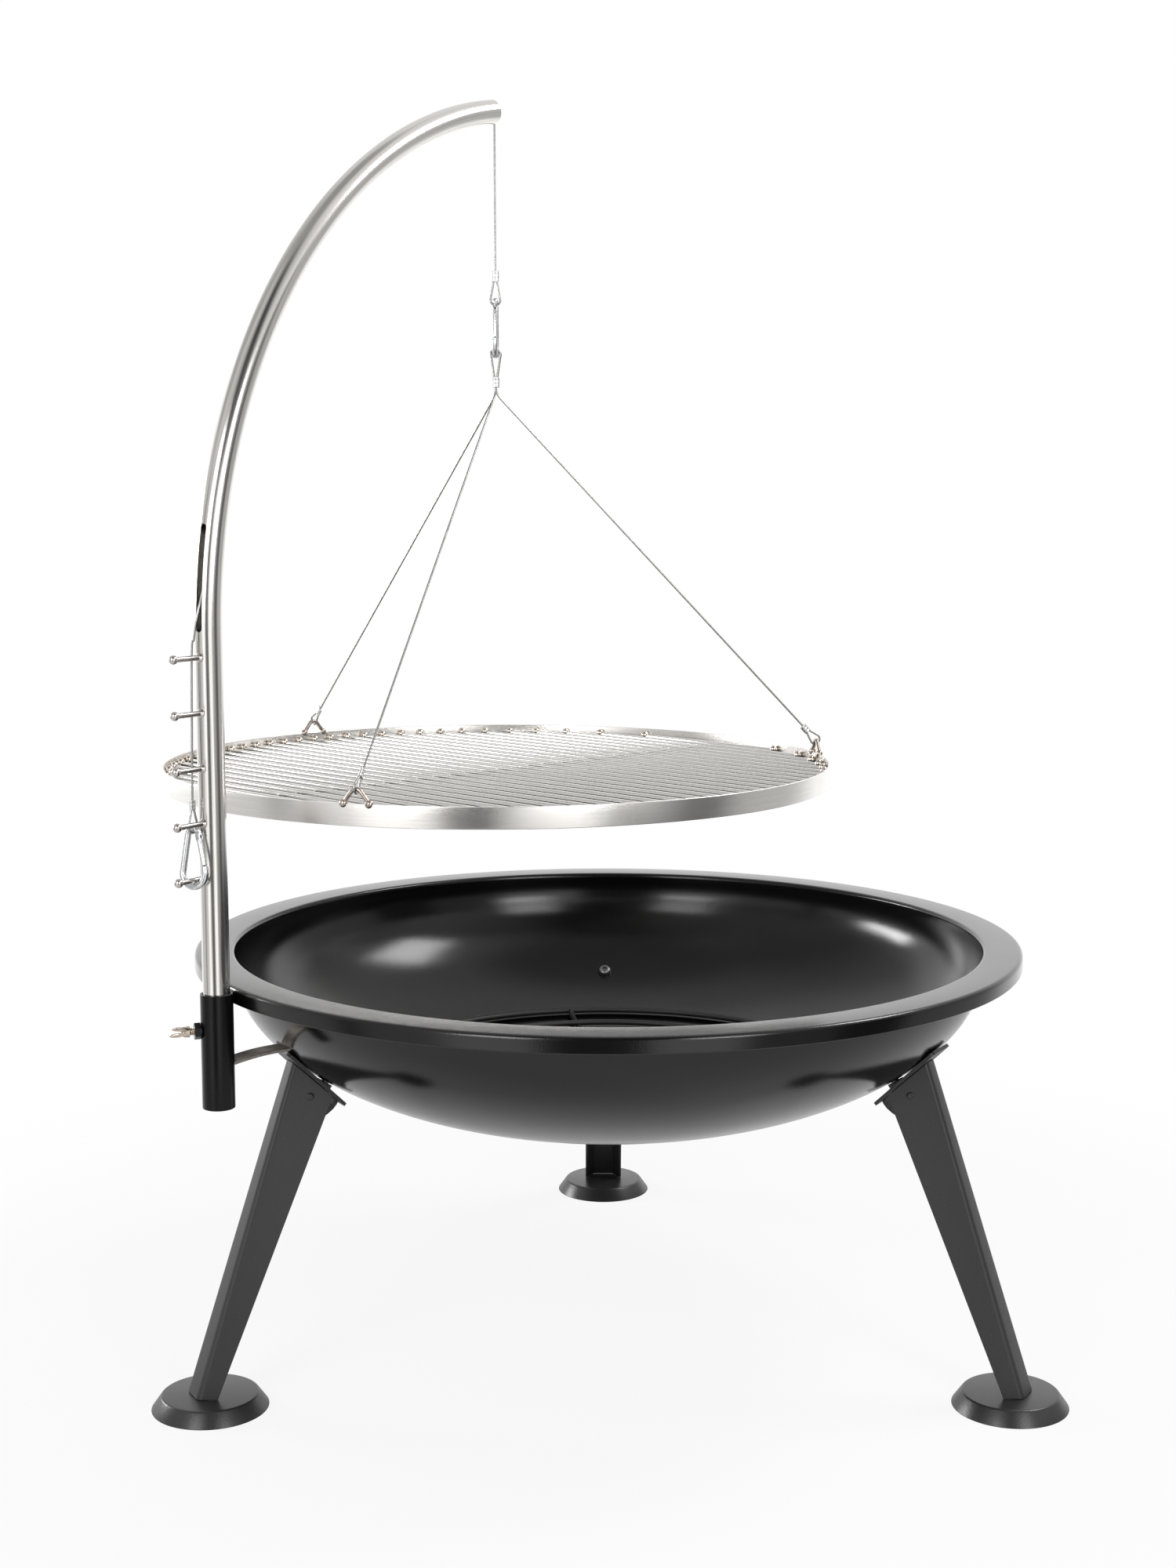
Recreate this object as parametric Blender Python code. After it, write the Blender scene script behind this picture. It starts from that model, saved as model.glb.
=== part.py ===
# Tripod swing grill: a fire bowl on three sheet legs, a curved swivelling pole in a side sleeve,
# and a round grate hung from the pole's mouth on a wire rope with two carabiners.
# Metres, +Z up. Lengths in the grill's own frame start at the bowl's axis on the floor.
import bpy
import bmesh
from math import acos, asin, atan, atan2, cos, pi, radians, sin, sqrt, tan
from mathutils import Matrix, Vector

GAP = 0.0003                    # left between pieces that touch
FACET_GAP = 0.0012              # left inside the bowl, where its facets stand in from the true curve

# Place of the bowl's axis, chosen so that the origin is the bottom centre of the bounding box.
BOWL_X = 0.01660
BOWL_Y = -0.03690

# Fire bowl: half an ellipse turned round, with a flat rim and a turned-down lip.
BOWL_SEGMENTS = 54
BOWL_STEPS = 12
BOWL_EDGE_Z = 0.3800            # height where the ellipse starts
BOWL_OUTER_RADIUS = 0.3650
BOWL_OUTER_DEPTH = 0.1650
SHEET = 0.0030
RIM_RADIUS = 0.4000
RIM_TOP = 0.3914
LIP_HEIGHT = 0.0145
RIM_CORNER = 0.0045

# Legs: folded channels, open towards the bowl's axis, on pressed feet.
LEG_AZIMUTHS = {"rear": 90.75, "left": 210.75, "right": 330.75}
LEG_SHEET = 0.0025
LEG_INNER_U = 0.3037            # inner edge line: distance from the axis at LEG_INNER_Z
LEG_INNER_Z = 0.2803
LEG_INNER_SLOPE = 0.4415
LEG_BACK_U = 0.3368             # back line: distance from the axis at LEG_BACK_Z
LEG_BACK_Z = 0.3130
LEG_BACK_SLOPE = 0.3374
LEG_OPEN_HALF = 0.0212          # half width at the open side
LEG_BACK_HALF_TOP = 0.0090
LEG_BACK_HALF_BOTTOM = 0.0130
LEG_TOP_Z = 0.2900              # section that gives the folds their direction
LEG_FOLD = 0.0045
FOOT_U = 0.4206
FOOT_RADIUS = 0.0532
FOOT_TOP_RADIUS = 0.0438
FOOT_HEIGHT = 0.0132
FOOT_SHEET = 0.0020
FOOT_SEGMENTS = 32

# Mount plates: flat, tangent to the bowl near their outer end.
PLATE_TANGENT_U = 0.3320
PLATE_OUTER_U = 0.3455
PLATE_INNER_U = 0.2895
PLATE_HALF_WIDTH = 0.0220
PLATE_THICKNESS = 0.0030
PLATE_CLEARANCE = 0.0005
PLATE_CORNER = 0.0050
BOLT_U = 0.3030                 # where each bolt passes through the bowl
BOLT_RADIUS = 0.0039
BOLT_HOLE_RADIUS = 0.0043
PLATE_HOLE_RADIUS = 0.0048
BOLT_HEAD_RADIUS = 0.0070
BOLT_HEAD_HEIGHT = 0.0044
BOLT_SOCKET_RADIUS = 0.0025
NUT_FLAT_HALF = 0.0065
NUT_HEIGHT = 0.0065
PAD_RADIUS = 0.0080             # pads that fill the wedges above and below each plate
PAD_THIN = 0.0010
PAD_ROOT = 0.0014               # how deep the pads, lugs and strap reach into the plate
SPACER_GAP = 0.0006
RIVET_Z = 0.2800
RIVET_SHARE = 0.52              # place across the web, from its inner edge to its fold
RIVET_RADIUS = 0.0020
RIVET_HOLE_RADIUS = 0.0024
RIVET_HEAD_RADIUS = 0.0038
RIVET_HEAD_HEIGHT = 0.0018
LUG_CLEARANCE = 0.0005
LUG_HALF_WIDTH = 0.0065
LUG_BELOW = 0.0060
STRAP_HALF_WIDTH = 0.0070
STRAP_THICKNESS = 0.0030
STRAP_END_Z = 0.2430
STRAP_PULL = (0.2970, 0.2560)   # distance from the axis and height of the arc's control point

# Pole, its sleeve and clamp screw.
SLEEVE_AZIMUTH = 213.8
SLEEVE_RADIUS = 0.0145
SLEEVE_BORE = 0.0125
SLEEVE_BOTTOM = 0.2845
SLEEVE_TOP = 0.3880
SLEEVE_FLOOR = 0.0040
POLE_RADIUS = 0.0120
POLE_WALL = 0.0015
POLE_SIDES_RESOLUTION = 6
BEND_START_Z = 0.7034
BEND_RADIUS = 0.5000
BEND_ANGLE = 80.0
BEND_STEPS = 18
ARM_AZIMUTH = 56.4
SLOT_BOTTOM = 0.7060
SLOT_TOP = 0.7970
SLOT_HALF_WIDTH = 0.0034
SLOT_LEAN = 0.0090              # how far the slot's top stands forward of its foot
PEG_HEIGHTS = [0.4923, 0.5403, 0.5883, 0.6363, 0.6843]
PEG_RADIUS = 0.0023
PEG_COLLAR_RADIUS = 0.0031
PEG_COLLAR_LENGTH = 0.0016
PEG_BALL_RADIUS = 0.0040
PEG_BALL_REACH = 0.0430         # ball's centre, from the pole's axis
BRACE_HALF_WIDTH = 0.0100
BRACE_THICKNESS = 0.0030
BRACE_SLEEVE_Z = 0.3250
BRACE_BOWL_Z = 0.3300
SCREW_AZIMUTH = 198.0
SCREW_Z = 0.3550
SCREW_RADIUS = 0.0035
SCREW_HOLE_RADIUS = 0.0042
CLAMP_NUT_BORE = 0.0039
CLAMP_NUT_HEIGHT = 0.0055
SCREW_TIP = 0.0123
SCREW_HUB_START = 0.0245
SCREW_HUB_END = 0.0320
SCREW_HUB_RADIUS = 0.0050
WING_SPAN = 0.0140
WING_REACH = 0.0100
WING_THICKNESS = 0.0024
WING_TURN = 30.0                # wings' turn about the screw's axis, from level

# Wire rope, ferrules and carabiners.
WIRE_RADIUS = 0.0010
WIRE_REACH = 0.4180             # drop wire's distance from the pole's axis
WIRE_RUN_RADIUS = 0.4911        # the rope's bend inside the pole
LIP_BEND = 0.0028
LIP_CENTRE_REACH = 0.4152
LIP_CENTRE_Z = 1.1847
DROP_TOP = 1.1777
UPPER_FERRULE_TOP = 1.0432
UPPER_FERRULE_BOTTOM = 1.0325
FERRULE_HALF_WIDTH = 0.0037
FERRULE_HALF_THICKNESS = 0.0021
LOOP_HALF_WIDTH = 0.0050
TAIL_LOOP_HALF_WIDTH = 0.0060
LOOP_LEG_HALF = 0.0013
EYE_ROOT = 0.0020               # how far an eye's legs run into its ferrule
CARABINER_WIRE = 0.0030
UPPER_LENGTH = 0.0540           # of a carabiner between its end bars' centres
LOWER_LENGTH = 0.0510
CARABINER_NARROW = 0.0055
CARABINER_WIDE = 0.0120
CARABINER_HOLD = 0.0043         # from a bar's centre to the centre of the wire hooked on it
UPPER_BAR_Z = 1.0140
GATE_RADIUS = 0.0024
GATE_PIVOT_DROP = 0.0020
GATE_PIN_RADIUS = 0.00075
GATE_HOLE_RADIUS = 0.00105
NOSE_LENGTH = 0.0030
TAIL_LEAN = 7.0                 # lower carabiner's lean, its top away from its gate
TAIL_TILT = 9.0                 # and its top away from the peg above the one it hangs on
TAIL_AZIMUTH = 333.0            # direction from the lower carabiner's middle to its gate
TAIL_REACH = -0.0242            # where the lowest peg passes through the lower carabiner
TAIL_FERRULE_TOP = 0.5610
TAIL_FERRULE_BOTTOM = 0.5525
TAIL_TOP = 0.6997

# Hanging grate.
GRATE_RADIUS = 0.3400
GRATE_BOTTOM = 0.5325
GRATE_BAND_HEIGHT = 0.0200
GRATE_BAND = 0.0030
GRATE_SEGMENTS = 84
ROD_RADIUS = 0.0025
ROD_WELD = 0.0012               # how far the rods run into the cross bar beneath them
ROD_PITCH = 0.02124
ROD_COUNT_EACH_SIDE = 15
ROD_AZIMUTH = -45.0
ROD_Z = 0.5440
CROSS_BAR_RADIUS = 0.0040
BAND_CLEARANCE = 0.0006
BAIL_AZIMUTHS = {"front_left": 251.2, "right": 11.2, "rear_left": 131.2}
BAIL_RADIUS = 0.0020
BAIL_REACH = 0.3385             # over the middle of the band's top edge
BAIL_HALF_WIDTH = 0.0125
BAIL_APEX_Z = 0.5655
BAIL_FOOT_Z = 0.5542
BAIL_TOP_RADIUS = 0.0060
BAIL_BEAD_RADIUS = 0.0040       # weld bead round each foot, astride the band's edge
BRIDLE_FERRULE_TOP = 0.9387
BRIDLE_FERRULE_BOTTOM = 0.9285
BRIDLE_SPACING = 0.0047
BRIDLE_BEND_DROP = 0.0060       # from the upper ferrule's foot to the rope's bend
BRIDLE_BEND_HALF = 0.0030       # half the length of that bend
BRIDLE_ORDER = {"front_left": -1, "right": 0, "rear_left": 1}
LOWER_LOOP_LENGTH = 0.0160
LOWER_FERRULE_LENGTH = 0.0090

# Charcoal grate: rings on two crossed bars, resting on the bowl's wall.
COAL_RING_RADII = [0.2360, 0.1800, 0.1240, 0.0680]
COAL_WIRE = 0.0030
COAL_WELD = 0.0016              # how far the rings and bars run into each other
COAL_BAR_AZIMUTHS = [100.0, 10.0]
COAL_SEGMENTS = 26


def clear_scene():
    for item in list(bpy.data.objects):
        bpy.data.objects.remove(item, do_unlink=True)


def make_material(name, colour, metallic, roughness):
    material = bpy.data.materials.new(name)
    material.use_nodes = True
    shader = material.node_tree.nodes["Principled BSDF"]
    shader.inputs["Base Color"].default_value = (*colour, 1.0)
    shader.inputs["Metallic"].default_value = metallic
    shader.inputs["Roughness"].default_value = roughness
    return material


def black_paint(name):
    return make_material(name, (0.030, 0.030, 0.032), 0.0, 0.32)


def bright_steel(name):
    return make_material(name, (0.62, 0.61, 0.58), 1.0, 0.22)


def zinc_steel(name):
    return make_material(name, (0.66, 0.67, 0.68), 1.0, 0.30)


def soft_aluminium(name):
    return make_material(name, (0.72, 0.72, 0.72), 1.0, 0.42)


def black_wire(name):
    return make_material(name, (0.020, 0.020, 0.021), 0.0, 0.55)


FINISHES = {"paint": black_paint, "steel": bright_steel, "zinc": zinc_steel,
            "aluminium": soft_aluminium, "wire": black_wire}


def empty_at(name, place, parent=None):
    # An empty at a place given in the grill's own frame.
    marker = bpy.data.objects.new(name, None)
    bpy.context.scene.collection.objects.link(marker)
    marker.empty_display_size = 0.02
    marker["grill_place"] = tuple(place)
    marker.parent = parent
    start = Vector(parent["grill_place"]) if parent else Vector((0, 0, 0))
    marker.location = Vector(place) - start
    return marker


def finish_object(name, mesh, finish, parent, smooth_angle=35.0):
    # Links a mesh given in the grill's own frame and hangs it on its body's empty.
    item = bpy.data.objects.new(name, mesh)
    bpy.context.scene.collection.objects.link(item)
    mesh.materials.clear()
    mesh.materials.append(FINISHES[finish](name))
    item.parent = parent
    item.location = -Vector(parent["grill_place"])
    if smooth_angle:
        mesh.shade_smooth()
        mesh.set_sharp_from_angle(angle=radians(smooth_angle))
    return item


def mesh_from(shape, name):
    # Closes a bmesh into a mesh with its faces outward.
    bmesh.ops.remove_doubles(shape, verts=shape.verts, dist=0.000001)
    bmesh.ops.recalc_face_normals(shape, faces=shape.faces)
    mesh = bpy.data.meshes.new(name)
    shape.to_mesh(mesh)
    shape.free()
    return mesh


def turned_bmesh(shape, profile, segments, matrix=None, phase=0.0):
    # Turns a closed profile of (radius, height) points about the local Z axis.
    start = Matrix.Rotation(radians(phase), 4, "Z")
    verts = [shape.verts.new(start @ Vector((r, 0.0, z))) for r, z in profile]
    edges = [shape.edges.new((verts[i], verts[(i + 1) % len(verts)])) for i in range(len(verts))]
    made = bmesh.ops.spin(shape, geom=verts + edges, axis=(0, 0, 1), cent=(0, 0, 0),
                          angle=2 * pi, steps=segments, use_merge=True)
    bmesh.ops.remove_doubles(shape, verts=shape.verts, dist=0.000001)
    loose = [e for e in shape.edges if not e.link_faces]
    bmesh.ops.delete(shape, geom=loose, context="EDGES")
    if matrix is not None:
        bmesh.ops.transform(shape, matrix=matrix, verts=shape.verts)
    return made


def turned(name, profile, segments, finish, parent, matrix=None, phase=0.0, smooth_angle=35.0):
    shape = bmesh.new()
    turned_bmesh(shape, profile, segments, matrix, phase)
    return finish_object(name, mesh_from(shape, name), finish, parent, smooth_angle)


def sweep_mesh(name, paths, radius, resolution, cyclic=False, matrix=None):
    # Carries a round section along each path; paths stay separate bodies.
    data = bpy.data.curves.new(name, "CURVE")
    data.dimensions = "3D"
    data.bevel_depth = radius
    data.bevel_resolution = resolution
    data.use_fill_caps = True
    for path in paths:
        spline = data.splines.new("POLY")
        spline.points.add(len(path) - 1)
        for slot, place in zip(spline.points, path):
            slot.co = (*place, 1.0)
        spline.use_cyclic_u = cyclic
    carrier = bpy.data.objects.new(name, data)
    bpy.context.scene.collection.objects.link(carrier)
    graph = bpy.context.evaluated_depsgraph_get()
    mesh = bpy.data.meshes.new_from_object(carrier.evaluated_get(graph))
    bpy.data.objects.remove(carrier, do_unlink=True)
    bpy.data.curves.remove(data)
    shape = bmesh.new()
    shape.from_mesh(mesh)
    bpy.data.meshes.remove(mesh)
    if matrix is not None:
        bmesh.ops.transform(shape, matrix=matrix, verts=shape.verts)
    return mesh_from(shape, name)


def swept(name, paths, radius, resolution, finish, parent, cyclic=False, matrix=None):
    mesh = sweep_mesh(name, paths, radius, resolution, cyclic, matrix)
    return finish_object(name, mesh, finish, parent, 50.0)


def prism_bmesh(shape, outline, depth, matrix):
    # Extrudes a flat outline along its local Z, from 0 to depth.
    low = [shape.verts.new(matrix @ Vector((x, y, 0.0))) for x, y in outline]
    high = [shape.verts.new(matrix @ Vector((x, y, depth))) for x, y in outline]
    shape.faces.new(low)
    shape.faces.new(high)
    for i in range(len(outline)):
        j = (i + 1) % len(outline)
        shape.faces.new((low[i], low[j], high[j], high[i]))


def prism(name, outline, depth, matrix, finish, parent, smooth_angle=35.0):
    shape = bmesh.new()
    prism_bmesh(shape, outline, depth, matrix)
    return finish_object(name, mesh_from(shape, name), finish, parent, smooth_angle)


def sloped_disc(shape, radius, sides, low_height, high_height, matrix):
    # A round pad whose two end faces may slope.
    low, high = [], []
    for k in range(sides):
        x, y = radius * cos(2 * pi * k / sides), radius * sin(2 * pi * k / sides)
        low.append(shape.verts.new(matrix @ Vector((x, y, low_height(x, y)))))
        high.append(shape.verts.new(matrix @ Vector((x, y, high_height(x, y)))))
    shape.faces.new(low)
    shape.faces.new(high)
    for k in range(sides):
        j = (k + 1) % sides
        shape.faces.new((low[k], low[j], high[j], high[k]))


def hexagon_nut(name, bore, start, height, matrix, finish, parent):
    # A ring of quads between a hexagon and a round bore.
    shape = bmesh.new()
    rows = []
    for k in range(12):
        angle = 2 * pi * k / 12
        corner = []
        for r in (hexagon_reach(angle), bore):
            x, y = r * cos(angle), r * sin(angle)
            corner.append(shape.verts.new(matrix @ Vector((x, y, start))))
            corner.append(shape.verts.new(matrix @ Vector((x, y, start + height))))
        rows.append(corner)
    sides = len(rows)
    for k in range(sides):
        a, b = rows[k], rows[(k + 1) % sides]
        shape.faces.new((a[0], b[0], b[1], a[1]))
        shape.faces.new((a[2], a[3], b[3], b[2]))
        shape.faces.new((a[1], b[1], b[3], a[3]))
        shape.faces.new((a[0], a[2], b[2], b[0]))
    return finish_object(name, mesh_from(shape, name), finish, parent, 25.0)


def hexagon_reach(angle):
    # Distance from a hexagon's centre to its edge.
    turn = (angle + pi / 6) % (pi / 3) - pi / 6
    return NUT_FLAT_HALF / cos(turn)


def cylinder_cutter(name, radius, length, matrices, parent, sides=16):
    # Cylinders centred on the local origin of each matrix, used only for cutting.
    whole = bmesh.new()
    for matrix in matrices:
        made = bmesh.ops.create_cone(whole, cap_ends=True, segments=sides, radius1=radius,
                                     radius2=radius, depth=length)
        bmesh.ops.transform(whole, matrix=matrix, verts=made["verts"])
    return as_cutter(name, mesh_from(whole, name), parent)


def block_cutter(name, sizes_and_matrices, parent):
    whole = bmesh.new()
    for size, matrix in sizes_and_matrices:
        made = bmesh.ops.create_cube(whole, size=1.0)
        scale = Matrix.Diagonal((*size, 1.0))
        bmesh.ops.transform(whole, matrix=matrix @ scale, verts=made["verts"])
    return as_cutter(name, mesh_from(whole, name), parent)


def as_cutter(name, mesh, parent):
    item = bpy.data.objects.new(name, mesh)
    bpy.context.scene.collection.objects.link(item)
    item.parent = parent
    item.location = -Vector(parent["grill_place"])
    item.display_type = "WIRE"
    item.hide_render = True
    return item


def apply_boolean(target, cutter, operation="DIFFERENCE"):
    step = target.modifiers.new(cutter.name, "BOOLEAN")
    step.operation = operation
    step.solver = "EXACT"
    step.object = cutter


def frame_matrix(origin, x_axis, y_axis, z_axis):
    axes = Matrix((x_axis, y_axis, z_axis)).transposed().to_4x4()
    return Matrix.Translation(origin) @ axes


def polar(azimuth, reach, height=0.0):
    return Vector((reach * cos(radians(azimuth)), reach * sin(radians(azimuth)), height))


def across(azimuth):
    # Level unit vector, a quarter turn ahead of an azimuth.
    return polar(azimuth + 90.0, 1.0)


def bowl_height(reach, inner=False):
    radius = BOWL_OUTER_RADIUS - (SHEET if inner else 0.0)
    depth = BOWL_OUTER_DEPTH - (SHEET if inner else 0.0)
    return BOWL_EDGE_Z - depth * sqrt(1.0 - (reach / radius) ** 2)


def bowl_slope(reach, inner=False):
    radius = BOWL_OUTER_RADIUS - (SHEET if inner else 0.0)
    depth = BOWL_OUTER_DEPTH - (SHEET if inner else 0.0)
    return depth / radius * (reach / radius) / sqrt(1.0 - (reach / radius) ** 2)


def ellipse_points(radius, depth, steps):
    # From the bottom centre up to the edge.
    points = []
    for k in range(steps + 1):
        turn = 0.5 * pi * k / steps
        points.append((radius * sin(turn), BOWL_EDGE_Z - depth * cos(turn)))
    return points


def bowl_profile():
    inner = ellipse_points(BOWL_OUTER_RADIUS - SHEET, BOWL_OUTER_DEPTH - SHEET, BOWL_STEPS)
    outer = ellipse_points(BOWL_OUTER_RADIUS, BOWL_OUTER_DEPTH, BOWL_STEPS)
    wall_in = BOWL_OUTER_RADIUS - SHEET
    wall_out = BOWL_OUTER_RADIUS
    small = RIM_CORNER * (1 - sqrt(0.5))
    top = RIM_TOP
    under = RIM_TOP - SHEET
    rim = [(wall_in, top - RIM_CORNER), (wall_in + small, top - small), (wall_in + RIM_CORNER, top),
           (RIM_RADIUS - RIM_CORNER, top), (RIM_RADIUS - small, top - small),
           (RIM_RADIUS, top - RIM_CORNER), (RIM_RADIUS, top - LIP_HEIGHT),
           (RIM_RADIUS - SHEET, top - LIP_HEIGHT), (RIM_RADIUS - SHEET, top - RIM_CORNER),
           (RIM_RADIUS - RIM_CORNER, under), (wall_out + 0.0020, under), (wall_out, under - 0.0020)]
    return inner + rim + outer[::-1]


def bolt_matrix(azimuth):
    # Origin on the bowl's outer face, X up the wall, Z out through the wall along the bolt.
    lean = atan(bowl_slope(BOLT_U))
    out = polar(azimuth, 1.0)
    up = Vector((0, 0, 1))
    along = out * cos(lean) + up * sin(lean)
    axis = out * sin(lean) - up * cos(lean)
    return frame_matrix(polar(azimuth, BOLT_U, bowl_height(BOLT_U)), along, axis.cross(along), axis)


def plate_lean():
    return atan(bowl_slope(PLATE_TANGENT_U))


def plate_matrix(azimuth):
    # Origin on the plate's top face at its middle, X up the slope, Z out of the underside.
    lean = plate_lean()
    out = polar(azimuth, 1.0)
    up = Vector((0, 0, 1))
    along = out * cos(lean) + up * sin(lean)
    axis = out * sin(lean) - up * cos(lean)
    middle = 0.5 * (PLATE_OUTER_U + PLATE_INNER_U)
    height = bowl_height(PLATE_TANGENT_U) + (middle - PLATE_TANGENT_U) * tan(plate_lean())
    origin = polar(azimuth, middle, height) + axis * PLATE_CLEARANCE
    return frame_matrix(origin, along, axis.cross(along), axis)


def plate_distance(azimuth, place):
    # How far a place lies below the plate's top face, along the plate's Z.
    return (plate_matrix(azimuth).inverted() @ place).z


def plate_height_on_bolt(azimuth, depth):
    # In the bolt's frame, the height of the plane that lies depth below the plate's top face.
    bolt = bolt_matrix(azimuth)
    at_zero = plate_distance(azimuth, bolt @ Vector((0, 0, 0)))
    per_x = plate_distance(azimuth, bolt @ Vector((1, 0, 0))) - at_zero
    per_z = plate_distance(azimuth, bolt @ Vector((0, 0, 1))) - at_zero
    return lambda x, y: (depth - at_zero - x * per_x) / per_z


def rounded_rectangle(half_x, half_y, corner, steps=3):
    points = []
    for quarter, (sx, sy) in enumerate([(1, 1), (-1, 1), (-1, -1), (1, -1)]):
        for k in range(steps + 1):
            turn = 0.5 * pi * (quarter + k / steps)
            points.append((sx * (half_x - corner) + corner * cos(turn),
                           sy * (half_y - corner) + corner * sin(turn)))
    return points


def build_bowl(stand):
    phase = LEG_AZIMUTHS["rear"]
    bowl = turned("fire_bowl", bowl_profile(), BOWL_SEGMENTS, "paint", stand, phase=phase)
    holes = [bolt_matrix(a) for a in LEG_AZIMUTHS.values()]
    apply_boolean(bowl, cylinder_cutter("bowl_bolt_holes", BOLT_HOLE_RADIUS, 0.020, holes, stand))


def channel_section(height):
    # Outer and inner outlines of a leg at one height, from one open edge round the back.
    # The inner one is stepped towards the hollow, which lies nearer the bowl's axis.
    inner_u = LEG_INNER_U + (LEG_INNER_Z - height) * LEG_INNER_SLOPE
    back_u = LEG_BACK_U + (LEG_BACK_Z - height) * LEG_BACK_SLOPE
    share = height / LEG_BACK_Z
    half = LEG_BACK_HALF_BOTTOM + (LEG_BACK_HALF_TOP - LEG_BACK_HALF_BOTTOM) * share
    edge = Vector((inner_u, LEG_OPEN_HALF))
    corner = Vector((back_u, half))
    to_edge = (edge - corner).normalized()
    to_back = Vector((0.0, -1.0))
    fold = [corner + to_edge * LEG_FOLD, corner + (to_edge + to_back) * LEG_FOLD * 0.27,
            corner + to_back * LEG_FOLD]
    side = [edge] + fold
    outer = side + [Vector((p.x, -p.y)) for p in reversed(side)]
    inner = []
    for i, place in enumerate(outer):
        before = outer[max(i - 1, 0)]
        after = outer[min(i + 1, len(outer) - 1)]
        ahead = (after - place).normalized() if after != place else (place - before).normalized()
        back = (place - before).normalized() if before != place else ahead
        middle = (ahead + back).normalized()
        stretch = 1.0 / max(middle.dot(ahead), 0.5)
        normal = Vector((middle.y, -middle.x))
        inner.append(place + normal * LEG_SHEET * stretch)
    return outer, inner


def leg_place(azimuth, point, height):
    return polar(azimuth, point.x, height) + across(azimuth) * point.y


def build_leg(name, azimuth, stand):
    bottom_z = FOOT_HEIGHT + GAP
    bottom = channel_section(bottom_z)
    top = channel_section(LEG_TOP_Z)
    cut_depth = PLATE_THICKNESS + GAP
    shape = bmesh.new()
    rows = {}
    for layer in (0, 1):
        low = [leg_place(azimuth, p, bottom_z) for p in bottom[layer]]
        high = [leg_place(azimuth, p, LEG_TOP_Z) for p in top[layer]]
        ends = []
        for a, b in zip(low, high):
            da, db = plate_distance(azimuth, a), plate_distance(azimuth, b)
            ends.append(a + (b - a) * ((cut_depth - da) / (db - da)))
        rows[layer] = ([shape.verts.new(p) for p in low], [shape.verts.new(p) for p in ends])
    count = len(bottom[0])
    for k in range(count - 1):
        for layer in (0, 1):
            low, high = rows[layer]
            shape.faces.new((low[k], low[k + 1], high[k + 1], high[k]))
        for level in (0, 1):
            a, b = rows[0][level], rows[1][level]
            shape.faces.new((a[k], a[k + 1], b[k + 1], b[k]))
    for k in (0, count - 1):
        shape.faces.new((rows[0][0][k], rows[0][1][k], rows[1][1][k], rows[1][0][k]))
    leg = finish_object(name, mesh_from(shape, name), "paint", stand, 40.0)
    holes = [rivet_matrix(azimuth, side) for side in (1, -1)]
    apply_boolean(leg, cylinder_cutter(name + "_holes", RIVET_HOLE_RADIUS, 0.012, holes, stand, 12))
    return leg


def web_place(azimuth, side, share, height):
    outer = channel_section(height)[0]
    point = outer[0].lerp(outer[1], share)
    return leg_place(azimuth, Vector((point.x, side * point.y)), height)


def rivet_matrix(azimuth, side):
    # Origin on the web's outer face, Z out of it, Y towards the mount plate.
    place = web_place(azimuth, side, RIVET_SHARE, RIVET_Z)
    along = web_place(azimuth, side, RIVET_SHARE + 0.1, RIVET_Z) - place
    up = web_place(azimuth, side, RIVET_SHARE, RIVET_Z + 0.01) - place
    normal = along.cross(up).normalized()
    if normal.dot(across(azimuth)) * side < 0:
        normal = -normal
    plate_axis = plate_matrix(azimuth).to_3x3() @ Vector((0, 0, 1))
    level = normal.cross(plate_axis).normalized()
    rise = normal.cross(level).normalized()
    if rise.dot(plate_axis) > 0:
        rise = -rise
        level = -level
    return frame_matrix(place, rise.cross(normal), rise, normal)


def build_foot(name, azimuth, stand):
    wall = FOOT_SHEET
    profile = [(0.0, FOOT_HEIGHT), (FOOT_TOP_RADIUS - 0.0020, FOOT_HEIGHT),
               (FOOT_TOP_RADIUS, FOOT_HEIGHT - 0.0012), (FOOT_RADIUS, 0.0),
               (FOOT_RADIUS - 0.0024, 0.0), (FOOT_TOP_RADIUS - 0.0024, FOOT_HEIGHT - wall),
               (0.0, FOOT_HEIGHT - wall)]
    turned(name, profile, FOOT_SEGMENTS, "paint", stand, Matrix.Translation(polar(azimuth, FOOT_U)),
           smooth_angle=25.0)


def nut_seat(azimuth):
    # Height in the bolt's frame of the flat face that the nut bears on.
    return plate_height_on_bolt(azimuth, PLATE_THICKNESS)(-PAD_RADIUS, 0) + PAD_THIN


def plate_half_length():
    return 0.5 * (PLATE_OUTER_U - PLATE_INNER_U) / cos(plate_lean())


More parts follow.
